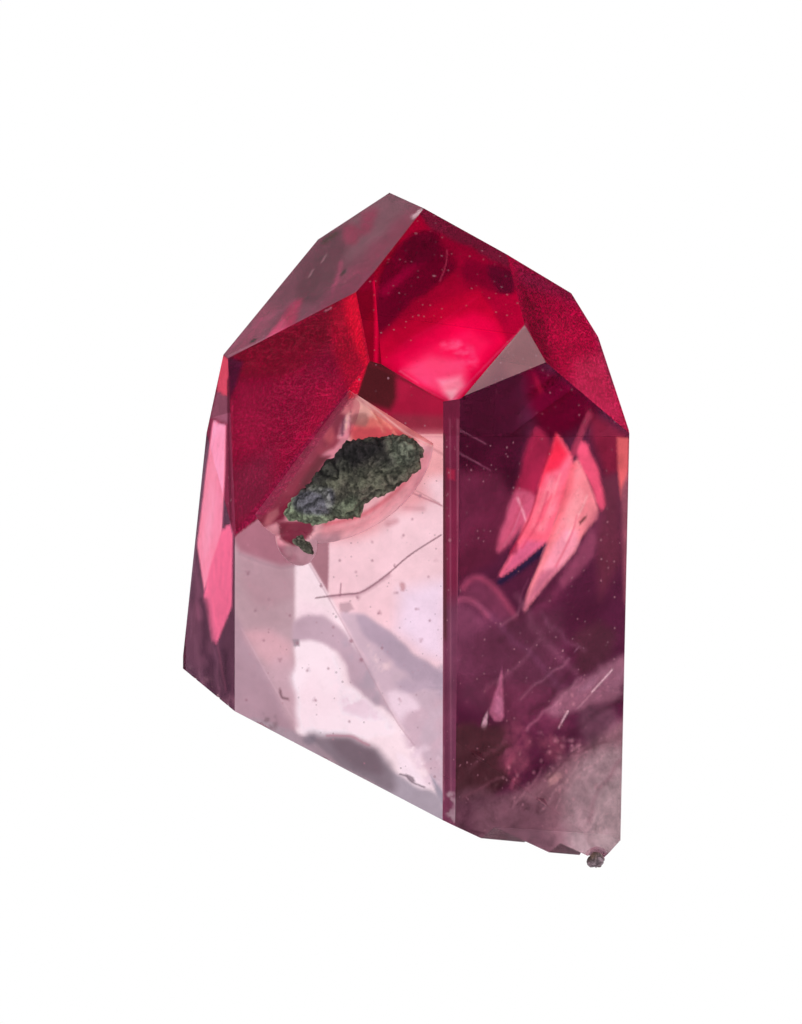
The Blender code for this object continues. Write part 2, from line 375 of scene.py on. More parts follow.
def crystal_material(upright_place, etched, specks):
    """Clear crystal: the tint painted on its skin x (1 + glints + clouds), with specks laid over it.

    That is for the camera.  Light that is already inside meets white, mixed with the tint by its share.
    """
    material, tree, shader = start_material("clear_crystal")
    place = use_group(tree, upright_place).outputs["Place"]
    tint, share = attribute(tree, "tint")
    finish, rough = attribute(tree, "finish")
    frosted, dusty, clouded = put(tree, "ShaderNodeSeparateColor", finish).node.outputs

    skin = use_group(tree, etched, Place=place).outputs
    # glints: painted highlights of the etched skin, laid on the tint
    glints = calc(tree, "MULTIPLY", calc(tree, "SUBTRACT", skin["Glints"], 1.0), frosted)
    veil = noise(tree, place, scale=1.4, detail=6.0, roughness=0.72, distortion=0.15)
    veil = calc(tree, "MULTIPLY", calc(tree, "SUBTRACT", veil, 0.5), CLOUD_GAIN)
    veil = calc(tree, "MULTIPLY", veil, clouded)
    veil = calc(tree, "MAXIMUM", calc(tree, "ADD", 1.0, veil), CLOUD_DARKEST)
    painted = scaled(tree, tint, calc(tree, "MULTIPLY", calc(tree, "ADD", 1.0, glints), veil))

    fine = use_group(tree, specks, Place=place, **FINE_SPECKS).outputs["Mask"]
    large = use_group(tree, specks, Place=place, **LARGE_SPECKS).outputs["Mask"]
    dust = calc(tree, "MAXIMUM", calc(tree, "MULTIPLY", fine, FINE_SPECK_SHARE), large)
    bright = ramp(tree, put(tree, "ShaderNodeSeparateColor", tint), *BRIGHT_TINT)
    speck = blend(tree, bright, LIGHT_SPECK, scaled(tree, tint, DARK_SPECK))
    shown = calc(tree, "MULTIPLY", calc(tree, "MULTIPLY", dust, dusty),
                 ramp(tree, bright, 0.0, 1.0, SPECK_ON_DARK, SPECK_ON_BRIGHT))
    painted = blend(tree, shown, painted, speck)

    seen = tree.nodes.new("ShaderNodeLightPath").outputs["Is Camera Ray"]
    passed = blend(tree, share, grey(1.0), tint)
    tree.links.new(blend(tree, seen, passed, painted), shader.inputs["Base Color"])
    tree.links.new(rough, shader.inputs["Roughness"])

    relief = calc(tree, "MULTIPLY", skin["Height"], frosted)
    bump = put(tree, "ShaderNodeBump", inputs={"Height": relief, "Distance": SKIN_RELIEF})
    tree.links.new(bump, shader.inputs["Normal"])

    shader.inputs["IOR"].default_value = CLEAR_IOR
    shader.inputs["Transmission Weight"].default_value = 1.0
    volume = tree.nodes.new("ShaderNodeVolumeAbsorption")
    volume.inputs["Color"].default_value = (*INNER_COLOUR, 1.0)
    volume.inputs["Density"].default_value = INNER_DENSITY
    tree.links.new(volume.outputs["Volume"], tree.nodes["Material Output"].inputs["Volume"])
    return material


def rock_material(name, upright_place):
    """Granular rock: the tint painted on it, darkened and lightened by its grains, which are bumps too."""
    material, tree, shader = start_material(name)
    place = use_group(tree, upright_place).outputs["Place"]
    tint, _ = attribute(tree, "tint")
    grain = noise(tree, place, GRAIN_SCALE, detail=4.0, roughness=GRAIN_ROUGHNESS)
    tree.links.new(scaled(tree, tint, ramp(tree, grain, *GRAIN_SHADES)), shader.inputs["Base Color"])
    shader.inputs["Roughness"].default_value = ROCK_ROUGHNESS
    bump = put(tree, "ShaderNodeBump", inputs={"Height": grain, "Distance": ROCK_RELIEF})
    tree.links.new(bump, shader.inputs["Normal"])
    return material


# Meshes and noise

def mesh_object(name, points, faces, material):
    """A new smooth mesh object at the origin from points in metres."""
    mesh = bpy.data.meshes.new(name)
    mesh.from_pydata(np.asarray(points).tolist(), [], np.asarray(faces).tolist())
    mesh.materials.append(material)
    mesh.polygons.foreach_set("use_smooth", np.ones(len(mesh.polygons), bool))
    mesh.update()
    thing = bpy.data.objects.new(name, mesh)
    bpy.context.collection.objects.link(thing)
    return thing


def lattice(place, seed):
    """Smooth noise in -1..1 at each row of place: random values at whole points, smooth steps between."""
    whole = np.floor(place).astype(np.int64)
    part = place - whole
    ease = part * part * (3.0 - 2.0 * part)
    total = np.zeros(len(place))
    for corner in range(8):
        step = np.array([(corner >> k) & 1 for k in range(3)])
        mixed = np.bitwise_xor.reduce((whole + step) * HASH_AXES, axis=1) ^ (seed * HASH_SEED)
        mixed = (mixed ^ (mixed >> 13)) * HASH_MIX
        value = ((mixed ^ (mixed >> 16)) & 0xFFFF) / 32767.5 - 1.0
        total += value * np.prod(np.where(step == 1, ease, 1.0 - ease), axis=1)
    return total


def octaves(place, seed, count, gain=0.5):
    """Sum of lattice noises, each twice as fine and gain times as strong as the one before."""
    total = np.zeros(len(place))
    for k in range(count):
        total += gain**k * lattice(place * 2.0**k + OCTAVE_SHIFT * k, seed + k)
    return total


def on_photo(spots, size):
    """Rows for the noise functions from photograph pixels, so that one step is size pixels."""
    return np.column_stack((spots / size, np.zeros(len(spots))))


# Colours

def screen(colour):
    """Red, green and blue in 0..1 as a screen shows them, from a code such as c04060 or three numbers."""
    if isinstance(colour, str):
        return np.array([int(colour[k:k + 2], 16) for k in (0, 2, 4)]) / 255.0
    return np.array(colour)


def linear(colour):
    """Screen values to light."""
    colour = np.clip(colour, 0.0, 1.0)
    return np.where(colour <= 0.04045, colour / 12.92, ((colour + 0.055) / 1.055) ** 2.4)


def smooth(value):
    """0 below 0, 1 above 1, and a smooth step between."""
    value = np.clip(value, 0.0, 1.0)
    return value * value * (3.0 - 2.0 * value)


def off_line(spots, start, end):
    """Distance of each spot from a straight stretch: from the nearest point of it, held between its ends."""
    run = np.subtract(end, start)
    share = np.clip((spots - start) @ run / max(run @ run, 1e-9), 0.0, 1.0)
    return np.hypot(*(spots - start - share[:, None] * run).T)


def inside(spots, starts, ends):
    """Even-odd rule: whether a line to the right of each spot crosses the outline an odd number of times."""
    odd = np.zeros(len(spots), bool)
    for (ax, ay), (bx, by) in zip(starts, ends):
        rise = by - ay
        if rise == 0.0:
            continue
        crosses = (ay > spots[:, 1]) != (by > spots[:, 1])
        odd ^= crosses & (spots[:, 0] < ax + (spots[:, 1] - ay) * (bx - ax) / rise)
    return odd


def curve_through(points, closed):
    """A smooth curve through the points: a Catmull-Rom spline, in equal steps from each point to the next."""
    count = len(points)
    index = np.arange(count if closed else count - 1)
    near = [index - 1, index, index + 1, index + 2]
    near = [n % count if closed else np.clip(n, 0, count - 1) for n in near]
    before, start, end, after = (points[n][:, None, :] for n in near)
    t = (np.arange(CURVE_STEPS) / CURVE_STEPS)[None, :, None]
    bent = 0.5 * (2 * start + (end - before) * t + (2 * before - 5 * start + 4 * end - after) * t**2
                  + (3 * start - before - 3 * end + after) * t**3)
    bent = bent.reshape(-1, 2)
    return bent if closed else np.vstack((bent, points[-1:]))


def even_steps(points, gap, closed):
    """Points about gap pixels apart along an outline, between its own points by their distance along it."""
    ring = np.vstack((points, points[:1])) if closed else points
    along = np.concatenate(([0.0], np.cumsum(np.hypot(*np.diff(ring, axis=0).T))))
    count = max(2, int(round(along[-1] / gap)) + 1)
    at = np.linspace(0.0, along[-1], count)
    found = np.stack([np.interp(at, along, ring[:, k]) for k in (0, 1)], -1)
    return found[:-1] if closed else found


def shape_of(points, closed, wobble):
    """The outline that is drawn: straight between its points, or curved and shaken by wobble pixels."""
    points = np.array(points, float)
    if wobble or (not closed and len(points) > 2):
        points = curve_through(points, closed)
    if wobble:
        points = even_steps(points, WOBBLE_GAP, closed)
        waves = on_photo(points, WOBBLE_SIZE)
        points = points + wobble * np.stack([octaves(waves, seed, 2) for seed in WOBBLE_SEEDS], -1)
    return points


def area(colour, soft, *corners, share=1.0, wobble=0.0, cloud=None):
    """A filled outline whose edge fades over soft pixels; cloud is size, slant and stretch of its patches."""
    return "area", screen(colour), soft, shape_of(corners, True, wobble), share, 0.0, cloud


def line(colour, width, soft, *points, share=1.0, wobble=0.0):
    """A drawn line, width pixels across, that fades over soft pixels."""
    return "line", screen(colour), soft, shape_of(points, False, wobble), share, width, None


def cloudy(spots, size, slant, stretch, seed=CLOUD_SEED):
    """Noise over the photograph, in patches of size pixels that are stretched along a slant, in degrees."""
    turn = math.radians(slant)
    along = spots @ (math.cos(turn), -math.sin(turn)) / (size * stretch)
    across = spots @ (math.sin(turn), math.cos(turn)) / size
    return octaves(np.column_stack((along, across, np.zeros(len(spots)))), seed, 4, 0.6)


def cover(layer, spots):
    """How much of each spot a layer covers: its share x a smooth step across its edge x its clouds."""
    kind, _, soft, points, share, width, cloud = layer
    reach = soft + width / 2
    near = ((spots > points.min(axis=0) - reach) & (spots < points.max(axis=0) + reach)).all(axis=1)
    amount = np.zeros(len(spots))
    spots = spots[near]
    if not len(spots):
        return amount
    if kind == "area":
        ends = np.roll(points, -1, axis=0)
        away = np.min([off_line(spots, a, b) for a, b in zip(points, ends)], axis=0)
        away = np.where(inside(spots, points, ends), -away, away)
    else:
        away = np.min([off_line(spots, a, b) for a, b in zip(points[:-1], points[1:])], axis=0) - width / 2
    shown = share * smooth(0.5 - away / soft)
    if cloud:
        shown = shown * smooth(0.5 + CLOUD_CONTRAST * cloudy(spots, *cloud))
    amount[near] = shown
    return amount


def crisp_spots(name):
    """Where a face's skin needs points of its own: at even steps along its layers' sharp edges, both sides.

    A side lies half the layer's width and half of its fade away from what is drawn, at right angles to it.
    """
    found = [np.zeros((0, 2))]
    for kind, _, soft, points, _, width, cloud in PAINTS[name][1] + LIGHT_BEHIND.get(name, PLAIN_LIGHT)[1]:
        if soft > CRISP_SOFT or cloud:
            continue
        steps = even_steps(points, CRISP_GAP, kind == "area")
        ahead = np.roll(steps, -1, axis=0) - np.roll(steps, 1, axis=0)
        ahead[[0, -1]] = ahead[[1, -2]]
        side = np.stack((-ahead[:, 1], ahead[:, 0]), -1) / np.maximum(np.hypot(*ahead.T), 1e-6)[:, None]
        inner = max(width / 2 - soft / 2, 0.0) if kind == "line" else soft / 2
        offsets = (-width / 2 - soft / 2, -inner, inner, width / 2 + soft / 2)
        found += [steps + side * offset for offset in sorted(set(offsets))]
    return np.vstack(found)


def onto_face(spots, normal, distance):
    """Points of a face that show at given pixels: where the camera's lines meet its plane."""
    reach = CAMERA_AWAY / PIXEL
    ahead = np.column_stack(((spots[:, 0] - PHOTO_WIDE / 2) / reach, np.ones(len(spots)),
                             (PHOTO_HIGH / 2 - spots[:, 1]) / reach))
    start = camera_place()
    return start + ahead * ((distance - normal @ start) / (ahead @ normal))[:, None]


# What each face shows: its ground colour, then its layers from the lowest to the highest

PAINTS = {}

# Shared by the front left face and the hollow: the hollow's rounded lip, the etched skin that reaches round
# above it, that skin's crimson end, and the lip's two ends
HOLLOW_LIP = ((268, 512), (294, 478), (320, 442), (340, 414), (350, 400), (351, 406), (341, 422),
              (324, 445), (302, 481), (284, 514), (272, 520))
ETCHED_OVER = area("85163a", 2.5, (366, 366), (356, 397), (338, 416), (317, 445), (292, 482), (269, 511),
                   (234, 537), (222, 537), (222, 520), (300, 440), (352, 376))
LIP_ENDS = [
    area("cc1236", 2.5, (369, 360), (357, 397), (349, 399), (348, 384), (360, 364)),
    area("c86e76", 4, (354, 397), (349, 400), (341, 413), (346, 415), (353, 407)),
    area("ab5c66", 4, (278, 507), (268, 513), (262, 526), (270, 525), (279, 514)),
]

# Shared by the two left faces: their tall flame and the lower one, both painted inner reflections
TALL_FLAME = area("fb86a4", 3, (213, 421), (226, 426), (225, 470), (222, 532), (211, 576), (204, 590),
                  (197, 544), (206, 470))
LOW_FLAME = area("ef6a90", 3, (222, 530), (230, 524), (233, 534), (232, 606), (217, 643), (211, 641),
                 (203, 598), (210, 567))

PAINTS["summit_left"] = ("7c4c5a", [
    area("7f5661", 16, (392, 190), (318, 236), (345, 262), (424, 212)),
    area("6a434e", 12, (303, 268), (317, 243), (348, 226), (343, 262), (326, 292), (296, 306), wobble=4),
    area("8c4e5f", 10, (226, 352), (262, 308), (280, 310), (262, 336), (238, 352), wobble=3),
    area("8c4459", 14, (424, 212), (400, 240), (372, 272), (355, 298), (300, 330), (322, 300), (350, 272),
         (374, 244), (404, 214), share=0.7, wobble=2),
    area("8e4357", 7, (345, 227), (361, 229), (358, 243), (345, 247), wobble=3),
    area("8a4256", 9, (362, 214), (380, 208), (372, 228), (360, 232), wobble=3),
    line("a04c66", 4, 5, (341, 264), (337, 276), (332, 290), share=0.9, wobble=2),
    area("a8405c", 8, (300, 300), (289, 306), (276, 327), (264, 345), (250, 356), (262, 353), (280, 337),
         (298, 318), wobble=2),
    area("c2506e", 6, (283, 316), (276, 327), (268, 338), (276, 336), (286, 324), wobble=2),
    line("9a4a60", 3, 4, (262, 318), (248, 338), (238, 350), share=0.5),
    line("4c2c38", 4, 5, (323, 243), (336, 233), share=0.8),
    line("a87a84", 1.2, 1.8, (297, 262), (302, 256), share=0.7),
    line("a87a84", 1.2, 1.8, (309, 277), (313, 270), share=0.7),
    line("a87a84", 1.2, 1.8, (322, 262), (326, 255), share=0.7),
    line("3c2028", 1.8, 2, (341, 275), (346, 270), share=0.9),
    line("3c2028", 1.8, 2, (251, 342), (256, 339), share=0.9),
    line("5c3a46", 1.5, 3, (390, 192), (317, 239), (224, 353), share=0.6),
    line("a8707e", 1.0, 2, (424, 211), (356, 292), (228, 356), share=0.5),
    area("dcc4c8", 2, (409, 219), (414, 212), (422, 210), (424, 213), (419, 218), (415, 222), share=0.8,
         wobble=2.5, cloud=(4, 40, 1.5)),
])

PAINTS["sliver"] = ("85011f", [
    area("780420", 8, (350, 292), (392, 240), (378, 300), (362, 330)),
    line("d00636", 3.5, 3, (375, 282), (376.5, 320), (376, 362)),
])

PAINTS["etched_left"] = ("851333", [
    area("760728", 20, (228, 354), (355, 292), (345, 330), (300, 370), (235, 400)),
    area("8e1738", 25, (232, 380), (270, 380), (275, 440), (232, 450)),
    area("7a1f39", 25, (228, 470), (270, 450), (275, 500), (232, 530)),
    area("9c1438", 22, (315, 390), (350, 370), (340, 410), (300, 445)),
    area("9e0a2e", 16, (330, 306), (345, 300), (366, 372), (350, 396), (333, 350)),
    area("dc0434", 11, (359, 288), (344, 300), (346, 320), (354, 345), (366, 372), (370, 366), (364, 330)),
    area("541833", 5, (226, 355), (243, 362), (236, 385), (230, 398)),
    line("4e1026", 2.0, 2.5, (228, 380), (230, 450), (234, 524), share=0.8),
    line("b03050", 1.2, 2, (232, 400), (232, 528), share=0.5),
    line("c05a70", 1.5, 3, (356, 396), (338, 416), (317, 445), (292, 482), (269, 511), (234, 536),
         share=0.5),
    line("b07080", 1.5, 2, (325, 311), (331, 308), share=0.8),
])

# Painted shade: dark at its top, where the far faces turn the light inside back, and bright below
PAINTS["centre"] = ("9f022c", [
    area("84072a", 16, (424, 210), (470, 236), (520, 270), (500, 300), (470, 290), (450, 262)),
    area("6a0524", 7, (377, 331), (378, 280), (393, 255), (412, 234), (427, 229), (438, 234), (448, 247),
         (456, 261), (453, 271), (436, 285), (408, 306), (383, 331), wobble=2),
    area("8c0430", 7, (381, 290), (392, 279), (412, 262), (424, 256), (426, 262), (404, 280), (384, 297),
         wobble=1.5),
    area("5a0a22", 8, (404, 244), (416, 232), (434, 234), (440, 250), (426, 262), (408, 262), share=0.8,
         wobble=2),
    area("6c1a32", 5, (420, 205), (478, 236), (524, 262), (521, 272), (470, 249), (438, 233), (424, 222),
         share=0.9, wobble=2),
    area("b4042f", 9, (440, 236), (470, 250), (492, 262), (486, 280), (462, 282), (452, 262), share=0.3,
         wobble=3),
    area("7c0628", 8, (463, 262), (489, 268), (487, 283), (466, 279), wobble=3),
    area("5c0c26", 8, (488, 266), (510, 270), (515, 286), (506, 298), (493, 284), wobble=3),
    area("c00231", 16, (372, 356), (382, 334), (412, 318), (446, 300), (478, 288), (500, 300), (512, 336),
         (480, 376), (456, 404), (410, 384)),
    area("e40542", 14, (384, 362), (404, 344), (436, 326), (474, 312), (496, 322), (504, 342), (478, 378),
         (454, 402), (412, 384)),
    area("f71652", 14, (402, 362), (428, 346), (470, 330), (490, 342), (470, 374), (454, 396), (424, 382)),
    area("fb4a78", 9, (424, 352), (444, 340), (470, 348), (476, 364), (462, 372), (440, 366), wobble=4,
         cloud=(14, 20, 1.6)),
    area("fb4070", 12, (402, 370), (430, 356), (464, 360), (468, 384), (454, 402), (424, 386)),
    area("ff7e9c", 9, (438, 380), (460, 376), (464, 386), (453, 402), (444, 394)),
    area("ffa0b4", 6, (446, 391), (457, 389), (452, 402)),
    area("a80230", 5, (480, 290), (500, 294), (524, 294), (528, 322), (509, 344), (502, 328), (494, 312)),
    line("f0305c", 1.2, 3, (404, 343), (440, 323), (477, 297), share=0.2),
    line("c84864", 0.8, 1.6, (447, 250), (446, 264), (440, 281), share=0.6),
    line("f06a86", 1.2, 2, (418, 383), (409, 377), (400, 371), share=0.5),
    line("d04060", 1.0, 2, (372, 362), (408, 380), (449, 402), share=0.6),
    line("d8406a", 1.0, 2, (450, 402), (524, 326), share=0.6),
    area("b08890", 2, (513, 272), (519, 274), (520, 284), (515, 283), share=0.7, wobble=1.5),
])

PAINTS["small_triangle"] = ("90656c", [
    area("96696f", 12, (500, 340), (526, 322), (548, 366), (510, 376)),
    area("886068", 14, (462, 400), (500, 372), (520, 384), (480, 396)),
    line("b58d94", 1.2, 2.5, (456, 402), (526, 325), share=0.6),
    line("a87a83", 1.2, 2.5, (456, 402), (546, 366), share=0.6),
])

PAINTS["etched_right"] = ("a00a36", [
    area("84163a", 16, (515, 262), (572, 288), (585, 308), (556, 296), (520, 286)),
    area("740627", 18, (520, 286), (538, 300), (550, 340), (556, 370), (545, 366), (525, 326)),
    area("ac0d3a", 25, (550, 320), (590, 320), (600, 370), (560, 372)),
    area("c0264f", 22, (574, 362), (604, 350), (634, 436), (600, 414), (570, 396)),
    line("86304a", 6, 6, (574, 292), (599, 338), (614, 384), share=0.6),
    line("a84060", 1.5, 3, (526, 324), (547, 366), (631, 436), share=0.6),
])

PAINTS["front_left"] = ("f4c6d1", [
    # top part: brown and crimson above the edge of the sloping back, down to the hollow's roof
    area("a5173b", 2, (350, 345), (462, 396), (450, 434), (410, 434.5), (396, 440), (340, 400)),
    area("932b41", 10, (392, 414), (446, 416), (446, 437), (396, 437)),
    area("511a21", 9, (350, 345), (384, 361), (396, 372), (397, 398), (390, 410), (370, 405), (350, 396)),
    area("b81d44", 7, (396, 380), (410, 384), (406, 400), (396, 402), share=0.5),
    line("6a1c28", 2.5, 3, (368, 362), (449, 402), share=0.6),
    line("f8c0c0", 1.2, 2, (410, 435), (442, 435), share=0.8),
    # right of the main diagonal
    area("eda2a8", 18, (405, 434), (448, 434), (448, 474), (420, 480)),
    area("e2939b", 22, (318, 500), (420, 470), (430, 500), (392, 536), (330, 540), share=0.8),
    area("f5c8d3", 24, (395, 512), (446, 507), (446, 600), (360, 600), (345, 565)),
    area("f3d3e8", 24, (400, 590), (446, 580), (446, 662), (424, 655), (396, 630)),
    # left of it: grey mauve, darker above the curved line
    area("bf9ba6", 12, (228, 534), (300, 560), (304, 752), (236, 728), wobble=2),
    area("ac6f80", 9, (226, 528), (276, 503), (322, 523), (309, 561), (294, 564), (281, 566), (262, 560),
         (240, 552)),
    area("a8727f", 3, (314, 518), (329, 518), (329, 560), (328, 594), (309, 561)),
    area("b98a98", 14, (240, 556), (262, 563), (290, 568), (290, 600), (250, 600), share=0.5, wobble=3),
    # bright region between the upright step and the diagonal
    area("f9dbe5", 5, (295, 563), (309, 561), (330, 596), (351, 635), (375, 680), (396, 718), (415, 744),
         (446, 806), (440, 812), (295, 735)),
    area("f8d4e2", 14, (300, 600), (330, 610), (345, 640), (320, 640), (296, 625), share=0.6),
    # grey mauve band across it, widening down along the diagonal
    area("c2a1b1", 7, (294, 622), (318, 615), (337, 625), (352, 640), (372, 676), (392, 714), (384, 708),
         (360, 694), (350, 682), (344, 664), (328, 648), (302, 640), (294, 646), wobble=2),
    area("b49cac", 8, (340, 640), (352, 642), (372, 676), (390, 710), (370, 698), (354, 684), (350, 664),
         share=0.8, wobble=3, cloud=(14, 60, 1.8)),
    area("fdeaf5", 12, (297, 652), (322, 650), (340, 668), (347, 688), (366, 700), (380, 712), (388, 730),
         (340, 738), (298, 728), wobble=4),
    area("f0d0e0", 9, (340, 700), (362, 696), (384, 716), (388, 728), (360, 716), (344, 712), wobble=3,
         cloud=(12, 30, 1.5)),
    # between the left diagonal and the upright step
    area("b490a0", 8, (230, 600), (244, 632), (272, 682), (300, 744), (234, 724), share=0.8),
    area("b38e9d", 14, (230, 650), (256, 670), (300, 746), (234, 724)),
    area("dba6b2", 14, (246, 634), (268, 630), (290, 640), (288, 662), (276, 668), (262, 660), share=0.8,
         wobble=3),
    area("cda4b2", 12, (266, 668), (290, 660), (296, 722), (288, 716), share=0.7, wobble=3),
    # grey band right of the diagonal with clouds below it
    area("cfafbf", 6, (340, 614), (357, 613), (376, 621), (396, 637), (415, 653), (435, 666), (447, 674),
         (447, 806), (442, 803), (415, 744), (396, 718), (375, 680), (351, 635), wobble=1.5),
    area("b79caf", 6, (357, 616), (376, 622), (396, 638), (415, 654), (435, 667), (447, 676), (447, 692),
         (420, 684), (400, 668), (380, 648), (362, 632), wobble=2),
    area("e6c3cd", 8, (366, 644), (380, 650), (390, 662), (388, 680), (378, 676), (370, 660), wobble=3,
         cloud=(12, 50, 1.4)),
    area("c2a5b8", 10, (390, 672), (412, 678), (446, 684), (446, 702), (410, 700), wobble=3,
         cloud=(16, 20, 1.8)),
    area("efcfdf", 8, (386, 694), (400, 692), (418, 700), (420, 714), (404, 722), (392, 712), wobble=3),
    area("d2aebe", 12, (400, 720), (446, 700), (447, 764), (420, 764), wobble=3, cloud=(12, 40, 1.5)),
    area("e9c9d9", 7, (400, 734), (416, 738), (434, 752), (443, 770), (442, 796), (428, 782), (410, 756),
         share=0.8, wobble=3, cloud=(9, 40, 1.5)),
    area("fbe0ee", 7, (398, 752), (412, 762), (430, 786), (420, 788), (400, 772), share=0.8, wobble=3),
    area("a596a6", 4, (431, 775), (446, 796), (447, 812), (438, 800)),
    # darker patch at the base, and the grey foot
    area("ab929f", 5, (236, 716), (268, 722), (300, 734), (312, 744), (330, 762), (300, 756), (250, 736),
         wobble=2),
    area("ac9aa8", 6, (357, 762), (392, 772), (420, 788), (440, 798), (447, 822), (400, 806), wobble=2),
    area("877480", 13, (306, 738), (325, 735), (354, 740), (372, 747), (386, 760), (393, 776), (388, 792),
         (340, 768), wobble=2),
    area("755f6b", 9, (330, 742), (354, 744), (372, 752), (382, 766), (378, 776), (350, 764), share=0.7,
         wobble=3),
    line("b06b7e", 2, 4, (328, 735), (354, 739), (368, 744), share=0.6, wobble=2),
    area("6c6474", 5, (305, 738), (315, 736), (315, 744), (306, 745), share=0.4, wobble=2),
    line("75606c", 1.6, 2, (400, 774), (406, 776), (412, 782), (424, 787), share=0.8),
    area("8a7480", 2, (405, 774), (412, 776), (417, 781), (411, 782), share=0.8, wobble=1),
    # edges of the far side, seen through
    line("b8909f", 1.0, 2, (308, 562), (329, 599), (350, 636), (374, 681), (395, 719), (414, 745),
         share=0.5),
    line("d8b0be", 1.2, 2, (242, 629), (270, 680), (298, 727), share=0.35),
    line("9d7685", 1.4, 4, (240, 554), (262, 563), (281, 568), (294, 566), (309, 561), share=0.35),
    # cracks and scratches in front
    line("7e4e5e", 1.4, 1.8, (316, 598), (330, 596), (347, 594), (358, 593), (370, 587), (389, 573),
         (410, 555), (441, 535), share=0.95),
    line("a07080", 3.5, 4, (330, 597), (347, 595), (358, 594), (370, 588), (389, 575), share=0.45),
    line("8a5a6a", 1.2, 2, (340, 596), (341, 584), share=0.7),
    line("b06a78", 1.2, 2, (384, 498), (401, 490), (424, 498), (447, 508), share=0.8),
    line("b88088", 1.0, 2, (406, 485), (439, 503), share=0.6),
    line("c07c84", 2.0, 3, (404, 437), (424, 444), (446, 456), share=0.7),
    area("c8909a", 3, (399, 582), (404, 583), (405, 590), (401, 592), share=0.8, wobble=1.5),
    area("a88490", 3, (339, 603), (350, 602), (354, 609), (346, 613), (340, 611), share=0.6),
    line("7a5460", 2.4, 2.4, (280, 690), (282, 697), (288, 699), share=0.8),
    area("8d6f7a", 4, (262, 716), (272, 714), (277, 722), (272, 730), (262, 727), share=0.8, wobble=3,
         cloud=(4, 0, 1.0)),
    area("9a8490", 2.5, (292, 639), (299, 639), (300, 646), (294, 647), share=0.8),
    line("c07a86", 5, 7, (388, 524), (396, 521), share=0.6),
    line("c07a86", 4, 7, (405, 508), (423, 509), share=0.5),
    # the hollow's lip, and a red glow round the rock
    area("92304a", 4, *HOLLOW_LIP),
    ETCHED_OVER, *LIP_ENDS,
    line("d88088", 8, 12, (408, 486), (386, 503), (371, 508), (357, 526), (320, 532), share=0.8),
    line("c8505e", 3, 6, (406, 483), (386, 499), (371, 504), (357, 520), (325, 525), share=0.7),
])

# Specks in front of two faces: their colour and share, then the pixel and size of each
SPOTS = {
    "front_left": ("9a6a7a", 0.8, [
        (297, 643, 2.2), (294, 563, 1.8), (325, 550, 1.6), (321, 586, 1.8), (358, 598, 1.8), (379, 613, 2.2),
        (351, 641, 2.4), (382, 648, 1.8), (361, 660, 2.4), (403, 536, 1.6), (396, 593, 1.6), (417, 609, 1.6),
        (308, 670, 1.8), (290, 615, 1.8), (248, 573, 2.2), (263, 640, 1.6), (340, 560, 1.4), (372, 541, 1.4),
        (430, 620, 1.5), (428, 576, 1.2), (315, 700, 2.0), (350, 722, 1.6), (280, 660, 1.8), (256, 610, 1.6),
        (420, 496, 2.2), (395, 566, 1.3), (268, 600, 1.4), (333, 628, 1.4), (421, 640, 1.6), (400, 700, 1.5),
        (246, 700, 1.8), (372, 560, 1.2), (412, 520, 1.3), (355, 572, 1.2), (436, 560, 1.4), (328, 668, 1.5),
    ]),
    "front_right": ("cc8c9c", 0.45, [
        (556, 740, 3.0), (563, 747, 2.4), (571, 741, 2.6), (549, 752, 2.2), (560, 757, 2.6), (541, 761, 2.0),
        (552, 768, 2.2), (534, 772, 1.8), (545, 780, 2.4), (528, 784, 1.8), (517, 776, 1.6), (509, 768, 2.0),
        (503, 778, 1.6), (514, 760, 1.8), (521, 752, 1.6), (506, 752, 1.6), (496, 786, 1.6), (487, 778, 1.4),
        (530, 740, 1.6), (540, 732, 1.8), (575, 760, 2.0), (586, 752, 1.6), (566, 772, 1.8), (580, 778, 1.6),
        (596, 786, 2.4), (560, 790, 1.6), (574, 800, 1.6), (590, 806, 1.6), (514, 798, 1.6), (538, 800, 1.6),
        (566, 712, 1.8), (574, 704, 1.6), (584, 694, 1.6), (572, 696, 1.2), (560, 704, 1.2), (486, 800, 1.4),
    ]),
}

